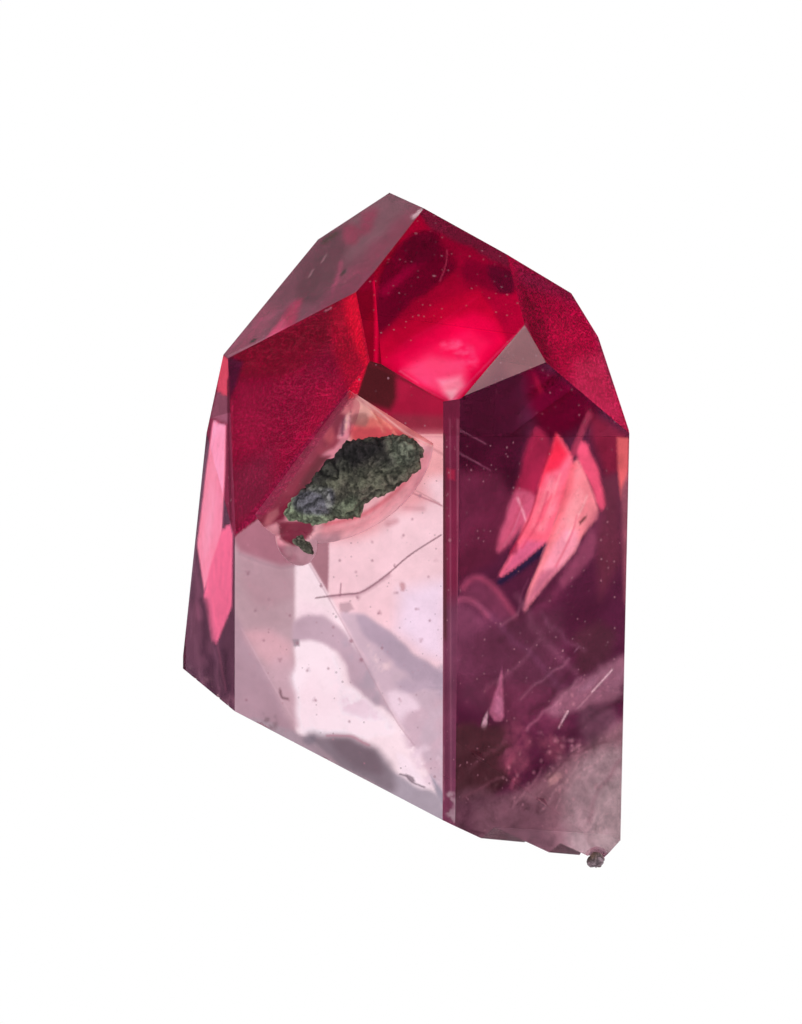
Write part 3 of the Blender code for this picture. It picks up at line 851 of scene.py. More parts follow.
PAINTS["hollow"] = ("e5a2aa", [
    area("dc6a66", 10, (355, 396), (376, 400), (444, 440), (446, 452), (420, 440), (400, 442), (350, 446)),
    area("dc9a94", 8, (350, 396), (368, 396), (374, 416), (360, 420), (346, 414)),
    # painted shadow below the hollow's apex
    area("8e5a58", 4, (353, 416), (368, 414), (367, 425), (352, 427), share=0.8, wobble=1.5),
    line("5c2a44", 3.5, 3, (344, 411), (342, 434), share=0.9),
    line("8a4450", 1.5, 2, (351, 406), (350, 436), share=0.7),
    line("e8b0a4", 1.5, 2, (347, 408), (346, 434), share=0.7),
    area("c0404c", 7, (352, 428), (404, 430), (416, 440), (400, 444), (360, 444), share=0.8, wobble=2),
    area("781a34", 6, (344, 406), (330, 420), (300, 462), (270, 508), (232, 538), (284, 520), (296, 490),
         (326, 450), (339, 434)),
    area("86263e", 4, *HOLLOW_LIP),
    area("8a2a3e", 5, (332, 432), (320, 448), (316, 456), (334, 448), (340, 440)),
    area("5c0a20", 6, (318, 456), (298, 486), (286, 510), (294, 516), (312, 482), (330, 456)),
    area("b04a54", 5, (323, 430), (332, 426), (334, 440), (325, 443), share=0.7, wobble=2),
    # painted shadow: red shade between the rock and the crumb
    area("7e2c40", 4, (278, 522), (313, 520), (314, 530), (306, 540), (296, 548), (280, 539)),
    area("b5808c", 5, (255, 540), (284, 546), (300, 546), (318, 534), (340, 530), (340, 580), (262, 580)),
    line("f8b0a0", 1.5, 2, (364, 400), (384, 432), share=0.6),
    line("f4a290", 1.5, 2, (368, 403), (396, 434), share=0.6),
    line("f8bcae", 1.2, 2, (373, 406), (408, 436), share=0.6),
    line("c05650", 1.5, 2, (374, 412), (386, 434), share=0.6),
    line("ffd0c8", 1.5, 2, (360, 397), (384, 416), (410, 435), (440, 450), share=0.7),
    line("d8808a", 9, 12, (424, 456), (412, 482), (390, 504), (362, 524), (325, 530), share=0.8),
    line("c8505e", 4, 6, (418, 456), (408, 478), (388, 498), (360, 516), (325, 524), share=0.8),
    ETCHED_OVER, *LIP_ENDS,
])

PAINTS["front_edge"] = ("76223f", [
    area("743c56", 40, (438, 600), (465, 600), (465, 840), (438, 840)),
    line("542a30", 4, 3, (443.5, 436), (445, 640), share=0.8),
    line("6a3048", 4, 3, (445, 640), (448, 812), share=0.7),
    area("a02443", 3, (447, 468), (455, 470), (455, 480), (448, 479)),
    line("ac7282", 1.2, 2.5, (457.5, 420), (459, 830), share=0.5),
    line("a86a7c", 1.0, 2, (450, 420), (451, 800), share=0.4),
    line("c08a98", 1.2, 2, (442, 436), (443.5, 800), share=0.5),
    area("9c7c88", 4, (445, 792), (458, 796), (458, 822), (448, 818), wobble=2, cloud=(5, 0, 1.0)),
])

# Painted inner reflections and shade: a dark plum ground, where the far faces turn the light inside back
# towards the dark room, and flames, which are the left faces mirrored inside
PAINTS["front_right"] = ("55203a", [
    area("471228", 26, (452, 395), (524, 372), (526, 440), (514, 500), (490, 560), (455, 570)),
    area("68243e", 16, (456, 470), (500, 474), (516, 500), (496, 560), (456, 580)),
    area("640828", 16, (526, 368), (560, 376), (596, 406), (576, 430), (546, 436), (530, 410), wobble=2),
    area("9a1238", 5, (533, 374), (537, 376), (543, 390), (540, 394), wobble=1),
    area("84203c", 14, (588, 410), (628, 434), (624, 470), (606, 478), (592, 440)),
    area("672c40", 14, (602, 478), (620, 474), (622, 560), (600, 600), (594, 540)),
    line("b03a58", 6, 4, (589, 415), (580, 436), (572, 455), share=0.8),
    # left flame, a painted inner reflection, with its mauve flank
    area("a8264a", 8, (536, 427), (550, 444), (541, 480), (535, 500), (526, 520), (514, 500), (520, 470),
         (527, 446), wobble=1.5),
    area("d0587a", 7, (517, 490), (535, 498), (530, 519), (516, 538), (496, 553), (502, 526), (510, 502),
         wobble=2),
    line("f0a0b4", 2.0, 3, (518, 499), (523, 512), (528, 528), share=0.8),
    line("e080a0", 1.5, 2.5, (520, 512), (514, 528), (504, 546), share=0.6),
    area("fb6680", 4, (557, 434), (573, 462), (567, 486), (557, 517), (549, 540), (543, 545), (500, 578),
         (508, 558), (518, 540), (527, 519), (536, 498), (540, 481), (551, 452), wobble=1),
    area("fc2a4c", 8, (556, 434), (568, 454), (560, 468), (546, 474), (540, 486), (544, 470), share=0.9),
    area("fa92a2", 10, (547, 478), (560, 482), (556, 512), (544, 532), (530, 528), (538, 508), share=0.6,
         cloud=(7, 62, 4.0)),
    area("d0608a", 8, (500, 577), (512, 556), (526, 540), (545, 542), (524, 562), share=0.8),
    area("7a2040", 4, (512, 544), (520, 542), (518, 552), (511, 553), share=0.6, wobble=2),
    line("a02040", 1.5, 2.5, (549, 450), (540, 482), (529, 519), (510, 554), share=0.6),
    line("241e3c", 6, 5, (500, 582), (522, 567), (548, 546), share=0.85),
    # right flame, a painted inner reflection
    area("ee5578", 5, (582, 440), (592, 455), (604, 494), (601, 512), (588, 482), (577, 459), wobble=2),
    area("fb8896", 4, (576, 459), (588, 482), (599, 514), (592, 524), (580, 540), (572, 556), (551, 577),
         (522, 612), (538, 568), (548, 540), (557, 517), (567, 486), wobble=1),
    area("ea5a6c", 6, (571, 464), (577, 462), (572, 490), (560, 520), (549, 544), (544, 556), (556, 518),
         share=0.6),
    area("ffb8be", 8, (578, 486), (590, 500), (584, 522), (568, 540), (566, 512), share=0.35,
         cloud=(7, 62, 4.0)),
    area("ffa0ba", 8, (577, 530), (579, 545), (564, 565), (549, 577), (543, 570), (554, 545), (566, 530),
         share=0.75),
    area("d0708c", 8, (524, 608), (540, 572), (560, 566), (540, 592)),
    area("7a3a42", 2.5, (579, 522), (583, 517), (587, 516), (584, 521), (580, 525), share=0.9),
    line("8c3c5c", 9, 12, (600, 516), (580, 558), (556, 592), (530, 618), share=0.6),
    area("964664", 7, (590, 526), (597, 538), (594, 556), (579, 574), (563, 588), (558, 580), (572, 560),
         (582, 544), share=0.8),
    line("ffc0c4", 1.4, 3, (566, 540), (580, 512), (587, 496), share=0.5),
    line("e0506c", 1.6, 3, (556, 566), (570, 538), (577, 516), share=0.5),
    line("ff9aa4", 1.4, 3, (540, 530), (552, 500), (560, 474), share=0.5),
    line("d84064", 1.6, 3, (522, 548), (538, 522), (548, 492), share=0.5),
    line("b03c58", 2, 4, (504, 548), (516, 520), (524, 496), share=0.4),
    # orange strip beside the right rim
    area("dc5c64", 4, (617, 437), (629, 438), (628, 480), (621, 500), (618, 470)),
    area("904a5c", 6, (621, 490), (629, 470), (629, 610), (624, 600)),
    # arcs with a bright upper edge, and scratches
    area("823c58", 16, (462, 588), (480, 580), (500, 594), (516, 622), (500, 630), (482, 606), (466, 598),
         share=0.8),
    area("8e4a68", 18, (448, 612), (466, 602), (482, 612), (500, 640), (492, 668), (448, 668), share=0.8,
         wobble=3),
    line("a84866", 6, 8, (463, 588), (470, 580), (480, 578), (492, 586), (503, 599), (516, 618), share=0.8),
    line("b85a7a", 5, 8, (449, 610), (456, 601), (466, 599), (477, 604), (488, 616), share=0.8),
    line("a0587a", 2, 5, (477, 603), (486, 611), (492, 619), share=0.5),
    line("8e5068", 1.0, 1.8, (453, 426), (486, 444), share=0.7),
    line("8e5068", 1.0, 1.8, (449, 447), (480, 464), share=0.7),
    line("9a6078", 1.0, 1.8, (445, 446), (490, 470), share=0.4),
    line("9a6a84", 1.0, 1.8, (446, 662), (480, 657), (508, 654), share=0.7),
    line("a87890", 1.0, 1.8, (591, 636), (583, 643), (575, 651), share=0.7),
    line("8a4c66", 1.0, 2, (516, 640), (520, 600), (528, 580), share=0.4),
    # middle and lower part
    area("68324a", 25, (505, 620), (560, 610), (570, 690), (500, 720), (458, 700), (456, 640)),
    area("7a3652", 22, (480, 680), (560, 690), (570, 730), (500, 735), share=0.7, cloud=(18, 30, 2.0)),
    area("532838", 14, (578, 634), (612, 624), (616, 650), (600, 670), (580, 670), wobble=4),
    area("935a70", 10, (552, 700), (596, 672), (624, 656), (622, 696), (590, 708), (556, 718), wobble=4),
    area("a8708a", 8, (580, 690), (606, 672), (622, 668), (620, 684), (596, 700), share=0.6, wobble=4,
         cloud=(10, 40, 1.8)),
    area("b86686", 3, (502, 668), (504, 716), (502, 721), (495, 721), (489, 713), (496, 690), share=0.9),
    area("d080a4", 4, (497, 694), (503, 700), (502, 716), (494, 712), share=0.6),
    area("e6b6c6", 2, (488, 709), (486, 735), (480, 733), (482, 724), share=0.85),
    line("e8bcc8", 1.2, 2, (612, 670), (603, 680), (592, 692), share=0.75),
    line("c08c9c", 1.2, 2, (592, 693), (578, 708), share=0.5),
    line("e8c4cc", 1.3, 2, (568, 711), (559, 727), share=0.75),
    area("6e4054", 12, (580, 712), (614, 706), (618, 744), (586, 748), wobble=4),
    area("4e2a32", 10, (448, 734), (500, 728), (512, 756), (500, 786), (484, 800), (450, 796), wobble=5),
    area("7a3a50", 12, (500, 724), (552, 722), (566, 750), (530, 790), (506, 776), wobble=5,
         cloud=(14, 30, 1.6)),
    area("a8506a", 6, (506, 764), (514, 758), (516, 782), (508, 788), share=0.7, wobble=3,
         cloud=(6, 60, 1.5)),
    area("8a5c6a", 16, (476, 806), (530, 786), (560, 760), (592, 742), (628, 716), (628, 862), (476, 850)),
    area("b87a8c", 8, (560, 740), (576, 738), (584, 750), (574, 764), (560, 758), share=0.8, wobble=3,
         cloud=(9, 40, 1.5)),
    area("c48c90", 7, (548, 774), (562, 772), (570, 784), (556, 792), share=0.7, wobble=3,
         cloud=(8, 40, 1.5)),
    area("a4808a", 20, (570, 776), (626, 750), (626, 850), (570, 852), wobble=4),
    area("ac8c94", 12, (594, 790), (624, 780), (622, 842), (598, 846), share=0.7, wobble=4),
    area("6c4452", 12, (456, 790), (530, 800), (548, 826), (548, 856), (456, 836), share=0.8, wobble=4),
    line("b87c90", 2, 4, (520, 700), (548, 674), (570, 658), share=0.35, wobble=3),
    line("b87c90", 2, 4, (528, 730), (556, 702), (584, 676), share=0.4, wobble=3),
    line("a8687e", 3, 5, (486, 690), (516, 668), (540, 640), share=0.35, wobble=3),
    line("43202e", 3, 5, (530, 716), (552, 694), (578, 664), share=0.5, wobble=3),
    line("43202e", 3, 5, (560, 744), (584, 722), (618, 700), share=0.4, wobble=3),
    line("4c2434", 3, 6, (500, 640), (524, 610), (548, 596), share=0.5, wobble=3),
    line("a8687e", 2, 4, (500, 628), (512, 616), (522, 602), share=0.4, wobble=2),
    line("c0909c", 1.6, 3, (556, 806), (580, 776), (604, 756), share=0.4, wobble=3),
    line("c0909c", 1.6, 3, (540, 812), (562, 786), (580, 764), share=0.35, wobble=3),
    line("8e5c6c", 3, 5, (590, 820), (602, 790), (622, 760), share=0.5, wobble=3),
    line("8a5060", 3, 5, (470, 770), (488, 752), (506, 742), share=0.45, wobble=3),
    line("7c4656", 2, 4, (462, 800), (484, 786), (504, 776), share=0.6, wobble=3),
    line("b07888", 1.6, 3, (512, 806), (528, 790), (544, 768), share=0.4, wobble=3),
    line("8c5068", 6, 9, (516, 596), (532, 620), (554, 648), (584, 680), share=0.45, wobble=4),
    line("85496a", 5, 8, (494, 618), (512, 640), (540, 664), (560, 690), share=0.4, wobble=4),
    line("945c74", 3, 6, (540, 610), (562, 634), (586, 652), share=0.35, wobble=4),
    line("6a3c4c", 2, 3, (584, 746), (570, 756), (560, 766), (546, 780), share=0.7, wobble=3),
    line("6a3c4c", 1.5, 3, (606, 742), (586, 750), (574, 756), share=0.5, wobble=2),
    line("442030", 1.5, 2, (460, 828), (488, 834), (500, 832), (548, 854), share=0.5),
])

PAINTS["left"] = ("5c3449", [
    area("92506a", 8, (214, 385), (228, 385), (226, 430), (212, 430)),
    TALL_FLAME,
    area("ffa4bc", 6, (212, 440), (219, 445), (214, 520), (206, 560), (202, 540), share=0.25),
    LOW_FLAME,
    area("683a50", 12, (184, 600), (206, 600), (214, 650), (200, 670), (182, 660)),
    area("b06080", 8, (194, 560), (202, 590), (206, 620), (196, 620), share=0.35),
    line("8c4660", 1.5, 3, (217, 642), (226, 690), share=0.5),
    line("8a6478", 1.5, 2.5, (220, 392), (205, 463), (194, 560), (180, 672), share=0.6),
    line("452236", 5, 8, (200, 600), (206, 650), (214, 690), share=0.7, wobble=4),
    line("3c1c30", 4, 7, (226, 650), (228, 690), share=0.6, wobble=3),
    line("7c4a60", 3, 5, (190, 610), (194, 650), (204, 684), share=0.5, wobble=3),
    line("845068", 2, 5, (216, 650), (220, 694), share=0.5, wobble=2),
    area("8a5a6c", 6, (182, 668), (204, 690), (236, 712), (238, 700), (200, 672), share=0.6, wobble=3,
         cloud=(7, 0, 1.0)),
])
PAINTS["left_upper"] = ("74223c", [
    area("e04a64", 4, (220, 352), (229, 360), (228, 398), (217, 390)),
    area("8c4a60", 4, (217, 391), (229, 397), (228, 424), (210, 416)),
    TALL_FLAME,
    LOW_FLAME,
    line("4e1026", 2.0, 2.5, (228, 380), (229, 450), (231, 524), share=0.8),
])

PAINTS["right"] = ("a4506c", [
    area("6a2440", 30, (280, 400), (600, 400), (600, 560), (280, 520), share=0.8, cloud=(60, 70, 1.8)),
    area("f07a94", 6, (352, 470), (380, 520), (372, 620), (346, 700), (330, 640), (340, 540)),
    area("ffa0b0", 14, (356, 500), (370, 540), (364, 610), (350, 640), share=0.7, cloud=(30, 70, 1.6)),
    area("d85a7c", 8, (420, 440), (462, 520), (440, 600), (410, 660), (414, 560), share=0.8),
    area("c88a9c", 30, (280, 700), (600, 650), (600, 860), (280, 860), share=0.8, cloud=(34, 25, 1.8)),
    area("5c2440", 20, (470, 560), (580, 520), (580, 720), (500, 700), share=0.7, wobble=5),
])
PAINTS["right_corner"] = ("b04a66", [
    area("e07a90", 20, (300, 380), (600, 380), (600, 470), (300, 470), cloud=(26, 40, 1.6)),
])
PAINTS["right_shoulder"] = ("9a2846", [
    area("d0405e", 14, (330, 250), (420, 260), (460, 420), (380, 440), (340, 360)),
    area("6a1230", 12, (440, 240), (560, 300), (560, 420), (470, 400), (450, 320)),
])
PAINTS["summit_right"] = ("84203a", [
    area("b03a56", 16, (300, 180), (420, 180), (420, 320), (300, 320), cloud=(26, 40, 1.6)),
])
PAINTS["back"] = ("fbeaf0", [
    area("e8b4c4", 14, (250, 560), (330, 600), (420, 700), (440, 800), (360, 760), (290, 660), share=0.6,
         wobble=5, cloud=(30, -50, 2.0)),
])
PAINTS["back_left"] = ("dca4b4", [
    area("f4ccd6", 8, (230, 420), (290, 480), (300, 640), (260, 720), (220, 600), share=0.8),
    area("b8708a", 20, (300, 560), (460, 600), (460, 800), (320, 760), share=0.6, cloud=(40, 40, 1.8)),
])
PAINTS["back_left_upper"] = ("b8485f", [
    area("e86a80", 8, (230, 360), (290, 330), (310, 420), (250, 480), share=0.8),
    area("8a2440", 16, (310, 300), (400, 330), (380, 460), (320, 440), share=0.7, cloud=(34, 40, 1.6)),
])
PAINTS["summit_back_left"] = ("9a4058", [
    area("c46a7e", 12, (300, 250), (380, 210), (380, 280), (300, 300), cloud=(24, 40, 1.6)),
])
PAINTS["back_slope"] = ("f2aebc", [
    area("e0708a", 20, (380, 220), (460, 260), (560, 420), (460, 430), (400, 330), share=0.6,
         cloud=(40, -30, 1.8)),
])
PAINTS["break"] = ("d8b4bc", [])
PAINTS["chip"] = ("8a6470", [])

# Light that reaches each face from inside the crystal when its skin is clear, and patches where it differs
PLAIN_LIGHT = ((1.0, 1.0, 1.0), [])
LIGHT_BEHIND = {
    "summit_left": ((0.64, 0.43, 0.51), [
        area((0.81, 0.61, 0.68), 3, (226, 356), (250, 331), (290, 307), (310, 296), (345, 281.5),
             (364, 274), (356, 293)),
    ]),
    "sliver": ((0.91, 0.65, 0.74), [
        area((0.74, 0.40, 0.52), 3, (350, 292), (424, 205), (404, 262), (378, 290)),
    ]),
    "etched_left": ((0.94, 0.73, 0.81), []),
    "centre": ((0.87, 0.59, 0.69), [
        area((0.76, 0.42, 0.54), 1.5, (424, 200), (462, 221.5), (376, 285.2)),
        area((0.975, 0.755, 0.845), 1.5, (360, 312.8), (530, 335.2), (452, 425), (355, 380)),
    ]),
    "small_triangle": ((0.92, 0.66, 0.76), []),
    "etched_right": ((0.70, 0.43, 0.53), [
        area((0.77, 0.50, 0.60), 12, (570, 370), (600, 352), (636, 440), (590, 410)),
    ]),
    "front_left": ((0.985, 0.76, 0.85), []),
    "front_edge": ((0.975, 0.735, 0.825), [
        area((0.83, 0.62, 0.70), 2, (438, 772.5), (462, 783.5), (462, 840), (438, 830)),
    ]),
    "front_right": ((0.975, 0.76, 0.845), [
        area((0.75, 0.395, 0.52), 1.5, (445, 380), (645, 350), (645, 436.2), (445, 436.2)),
        area((0.95, 0.68, 0.78), 1.5, (445, 436.2), (538.4, 436.2), (457, 590), (445, 590)),
        area((0.91, 0.69, 0.775), 6, (445, 671), (640, 694), (640, 870), (445, 860)),
        area((0.81, 0.58, 0.66), 2, (445, 735), (480, 758), (582, 832), (600, 865), (445, 860)),
    ]),
    "left": ((0.94, 0.78, 0.84), []),
    "left_upper": ((0.75, 0.58, 0.63), []),
    "hollow": ((0.945, 0.70, 0.77), [
        area((0.86, 0.46, 0.59), 4, (345, 398), (354, 420), (330, 450), (290, 480), (250, 530), (232, 536),
             (290, 470)),
    ]),
    "chip": ((0.92, 0.68, 0.76), []),
}

# Light from the studio that faces mirror on top of what comes through them
MIRRORED = {
    "summit_left": 0.054, "small_triangle": 0.11, "etched_left": 0.006, "etched_right": 0.003,
    "centre": 0.002, "sliver": 0.002, "front_right": 0.002,
}

# Finish of each face: how frosted (which also sets its painted glints), dusty and cloudy it is, and its
# roughness
FINISHES = {
    "etched_left": (0.85, 0.0, 0.1, 0.22),
    "etched_right": (1.45, 0.0, 0.1, 0.25),
    "front_left": (0.0, 1.0, 0.15, 0.01),
    "front_edge": (0.0, 0.6, 0.3, 0.01),
    "front_right": (0.0, 0.7, 0.35, 0.02),
    "centre": (0.0, 0.5, 0.3, 0.01),
    "sliver": (0.0, 0.5, 0.2, 0.01),
    "summit_left": (0.25, 1.0, 0.6, 0.12),
    "small_triangle": (0.0, 0.4, 0.15, 0.03),
    "break": (0.8, 0.3, 0.3, 0.4),
    "chip": (0.4, 0.3, 0.5, 0.2),
    "hollow": (0.0, 0.3, 0.5, 0.3),
}
PLAIN_FINISH = (0.0, 0.5, 0.3, 0.02)
MILKY_GAIN, MILKY_FROM, MILKY_OVER = 0.55, 600.0, 160.0   # the front right face clouds over towards its base

# Unevenness of each face's colours: strength, size in pixels, slant and stretch
MOTTLE = {
    "front_right": (0.09, 22, 35, 2.2),
    "centre": (0.06, 26, 30, 1.8),
    "summit_left": (0.05, 12, 45, 2.0),
    "etched_left": (0.05, 16, 10, 1.5),
    "etched_right": (0.05, 14, 0, 1.0),
    "front_left": (0.025, 26, -50, 1.8),
    "left": (0.04, 20, 80, 3.0),
    "small_triangle": (0.03, 20, 45, 2.0),
    "hollow": (0.06, 10, 45, 2.0),
    "right": (0.08, 30, 60, 2.0),
    "back_slope": (0.06, 30, 30, 2.0),
}
PLAIN_MOTTLE = (0.05, 30, 40, 1.8)
FINE_MOTTLE, FINE_WAVES = 0.02, 0.9   # finer unevenness of all faces, and its waves a mm


def layered(ground, layers, spots):
    """A ground colour under its layers at photograph pixels: each layer draws it to its own by its cover."""
    colour = np.tile(screen(ground), (len(spots), 1))
    for layer in layers:
        colour += (layer[1] - colour) * cover(layer, spots)[:, None]
    return colour


def paint_face(name, points):
    """Tints and finishes at points of a face: layers over its ground colour, its specks, then unevenness.

    Tint = ((colour - mirrored light) / light behind) squared, because clear skin dyes light by its root.
    """
    spots = side_place(points) if name in SIDE_FACES else photo_place(points)
    colour = layered(*PAINTS[name], spots)
    if name in SPOTS:
        spot_colour, share, places = SPOTS[name]
        for x, y, size in places:
            dot = smooth(SPOT_EDGE - np.hypot(spots[:, 0] - x, spots[:, 1] - y) / size)
            colour += (screen(spot_colour) - colour) * share * dot[:, None]
    strength, size, slant, stretch = MOTTLE.get(name, PLAIN_MOTTLE)
    uneven = strength * cloudy(spots, size, slant, stretch, MOTTLE_SEED)
    uneven += FINE_MOTTLE * octaves(points * FINE_WAVES + 3.0, FINE_SEED, 4)
    colour = colour * (1.0 + uneven[:, None])
    light = layered(*LIGHT_BEHIND.get(name, PLAIN_LIGHT), spots)
    tint = np.clip((linear(colour) - MIRRORED.get(name, 0.0)) / light, 0.0, 1.0) ** 2
    finish = np.tile(FINISHES.get(name, PLAIN_FINISH), (len(points), 1))
    if name in ("front_left", "hollow"):
        finish[:, 0] = cover(ETCHED_OVER, spots)
    if name == "front_right":
        finish[:, 2] += MILKY_GAIN * smooth((spots[:, 1] - MILKY_FROM) / MILKY_OVER)
    return tint, finish


# The crystal's skin: the CAD faces, split into small triangles

def hollow_axes():
    """Middle of the hollow, and its directions: the front left face's own, turned in it, and outwards."""
    outward, distance = face_planes()["front_left"]
    right = np.cross((0.0, 0.0, 1.0), outward)
    right /= np.linalg.norm(right)
    up = np.cross(outward, right)
    middle = outward * distance + right * HOLLOW_ACROSS + up * HOLLOW_UP
    turn = math.radians(HOLLOW_TURN)
    along = right * math.cos(turn) + up * math.sin(turn)
    across = up * math.cos(turn) - right * math.sin(turn)
    return middle, np.stack((along, across, outward))


def cad_triangles():
    """The CAD crystal's points in the upright crystal, and its triangles."""
    body = bmesh.new()
    body.from_mesh(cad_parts["crystal"].data)
    bmesh.ops.remove_doubles(body, verts=body.verts, dist=1e-7)
    points = np.array([v.co for v in body.verts])
    triangles = np.array([[v.index for v in f.verts] for f in body.faces])
    body.free()
    return upright(points), triangles


def face_planes():
    """Outward direction and distance from the prism's middle of each named face and of the break."""
    planes = {name: (facing(a, r), d) for name, (a, r, d) in FACES.items()}
    below, ground = upright([[0.0, 0.0, -1.0], [0.0, 0.0, 0.0]])
    down = (below - ground) / np.linalg.norm(below - ground)
    planes["break"] = (down, float(down @ ground))
    return planes


def sort_triangles(points, triangles):
    """Each triangle's face, number of the stretch that it is split with, and normal.

    A triangle is a face's when its corners lie in the face's plane and it looks the same way, and the
    hollow's when its middle lies within one of the hollow's round parts.
    """
    corners = points[triangles]
    normals = np.cross(corners[:, 1] - corners[:, 0], corners[:, 2] - corners[:, 0])
    normals /= np.linalg.norm(normals, axis=1)[:, None]
    names = np.full(len(triangles), "chip", dtype=object)
    stretch = LONE_GROUPS + np.arange(len(triangles))
    middle, axes = hollow_axes()
    local = (corners.mean(axis=1) - middle) @ axes.T
    for centre, radii in HOLLOW_BALLS:
        names[np.linalg.norm((local - centre) / radii, axis=1) < HOLLOW_REACH] = "hollow"
    for number, (name, (normal, distance)) in enumerate(face_planes().items()):
        off = np.abs(corners @ normal - distance).max(axis=1)
        flat = (off < FLAT_TOLERANCE) & (normals @ normal > 0.9)
        names[flat] = name
        stretch[flat] = number
    return names, stretch, normals


def split_borders(points, borders, steps):
    """Adds points at even steps along each border edge: all points, and each edge's row of point numbers."""
    rows, added, count = [], [points], len(points)
    for (a, b), step in zip(borders, steps):
        parts = max(1, math.ceil(np.linalg.norm(points[b] - points[a]) / step))
        share = np.arange(1, parts)[:, None] / parts
        added.append(points[a] * (1 - share) + points[b] * share)
        rows.append(np.concatenate(([a], np.arange(count, count + parts - 1), [b])))
        count += parts - 1
    return np.vstack(added), rows


def fill_stretch(points, rows, towards, normal, step, extra):
    """Small triangles that fill a flat outline: staggered rows of points inside it, joined with its edge's.

    Each split edge is bowed inwards by a hair, by 4 x dent x share x (1 - share) along it, and a triangle
    with all corners on it is left out.
    """
    across = np.cross((0.0, 0.0, 1.0) if abs(normal[2]) < 0.9 else (0.0, 1.0, 0.0), normal)
    across /= np.linalg.norm(across)
    flat = np.stack((across, np.cross(normal, across)))
    edge_points = np.unique(np.concatenate(rows))
    number = np.zeros(edge_points[-1] + 1, int)
    number[edge_points] = np.arange(len(edge_points))
    middle_point = points[edge_points].mean(axis=0)
    outline = (points[edge_points] - middle_point) @ flat.T
    for row, middle in zip(rows, (towards - middle_point) @ flat.T):
        start, end = outline[number[row[0]]], outline[number[row[-1]]]
        run = end - start
        inward = middle - start - run * ((middle - start) @ run / (run @ run))
        room = np.linalg.norm(inward)
        dent = min(DENT * np.linalg.norm(run), DENT_ROOM * room)
        share = np.linspace(0.0, 1.0, len(row))[1:-1, None]
        outline[number[row[1:-1]]] += inward / room * 4.0 * dent * share * (1.0 - share)
    segments = np.vstack([np.stack((number[row[:-1]], number[row[1:]]), -1) for row in rows])
    starts, ends = outline[segments[:, 0]], outline[segments[:, 1]]

    low, high = outline.min(axis=0), outline.max(axis=0)
    x, y = np.meshgrid(np.arange(low[0], high[0], step), np.arange(low[1], high[1], step * ROW_GAP))
    x = x + (np.arange(len(x)) % 2)[:, None] * step / 2
    grid = np.stack((x.ravel(), y.ravel()), -1) + step * ROW_START
    rough = np.column_stack((grid * UNEVEN_WAVES, grid[:, :1]))
    grid = grid + np.stack((lattice(rough, 3), lattice(rough, 4)), -1) * step * UNEVEN
    grid = np.vstack((grid, (extra - middle_point) @ flat.T))
    grid = grid[inside(grid, starts, ends)]
    gap = np.min([off_line(grid, outline[number[row[0]]], outline[number[row[-1]]]) for row in rows], axis=0)
    grid = grid[gap > EDGE_GAP * step]
    inner = grid @ flat + middle_point
    spots = [Vector(p) for p in np.vstack((outline, grid)).tolist()]
    found, _, faces, sources, _, _ = delaunay_2d_cdt(spots, segments.tolist(), [], 0, SAME_POINT)
    faces = np.array(faces)
    centres = np.array([tuple(p) for p in found])[faces].mean(axis=1)
    faces = faces[inside(centres, starts, ends)]
    faces = np.array([s[0] for s in sources])[faces]
    for row in rows:
        faces = faces[~np.isin(faces, number[row]).all(axis=1)]
    return inner, edge_points, faces


def fine_skin():
    """The skin's points and small triangles, and the CAD triangle, face name and stretch of each.

    An edge between two stretches is split once, so that the triangles on both sides share its points.
    """
    points, triangles = cad_triangles()
    names, stretch, normals = sort_triangles(points, triangles)
    sides = np.sort(np.vstack((triangles[:, [0, 1]], triangles[:, [1, 2]], triangles[:, [2, 0]])), axis=1)
    owner = np.tile(np.arange(len(triangles)), 3)
    pairs = np.lexsort((sides[:, 1], sides[:, 0])).reshape(-1, 2)
    pairs = pairs[stretch[owner[pairs[:, 0]]] != stretch[owner[pairs[:, 1]]]]
    owners = owner[pairs]
    steps = np.array([FINE_STEPS.get(name, COARSE_STEP) for name in names])
    points, rows = split_borders(points, sides[pairs[:, 0]], steps[owners].min(axis=1))
    all_points, all_faces, all_owners = [points], [], []
    count = len(points)
    middles = points[triangles].mean(axis=1)
    planes = face_planes()
    for number in np.unique(stretch):
        first = np.flatnonzero(stretch == number)[0]
        mine, side = np.nonzero(stretch[owners] == number)
        name, normal, extra = names[first], normals[first], np.zeros((0, 3))
        if name in planes:
            normal, distance = planes[name]
        if name in FACES and name not in SIDE_FACES:
            extra = onto_face(crisp_spots(name), normal, distance)
        inner, edge_points, faces = fill_stretch(
            points, [rows[k] for k in mine], middles[owners[mine, side]], normal, steps[first], extra
        )
        if name in planes:
            inner += normal * (distance - inner @ normal)[:, None]
        numbers = np.concatenate((edge_points, np.arange(count, count + len(inner))))
        all_points.append(inner)
        all_faces.append(numbers[faces])
        all_owners.append(np.full(len(faces), first))
        count += len(inner)
    return np.vstack(all_points), np.vstack(all_faces), np.concatenate(all_owners), names, stretch


def round_hollow(points, inner):
    """Moves the hollow's inner points from the CAD facets out to its round walls, then wears these a little.

    Place from a round part's centre / its length in radii, plus octave noise of the place, outwards.
    """
    middle, axes = hollow_axes()
    local = (points - middle) @ axes.T
    for centre, radii in HOLLOW_BALLS:
        share = (local - centre) / radii
        size = np.linalg.norm(share, axis=1)
        near = inner & (np.abs(size - 1.0) < WALL_REACH)
        local[near] = (share[near] / size[near, None]) * radii + centre
    worn = octaves(local[inner] * HOLLOW_WAVES + 2.0, 61, 3)
    local[inner] += HOLLOW_WEAR * worn[:, None] * (0.0, 0.0, 1.0)
    return local @ axes + middle


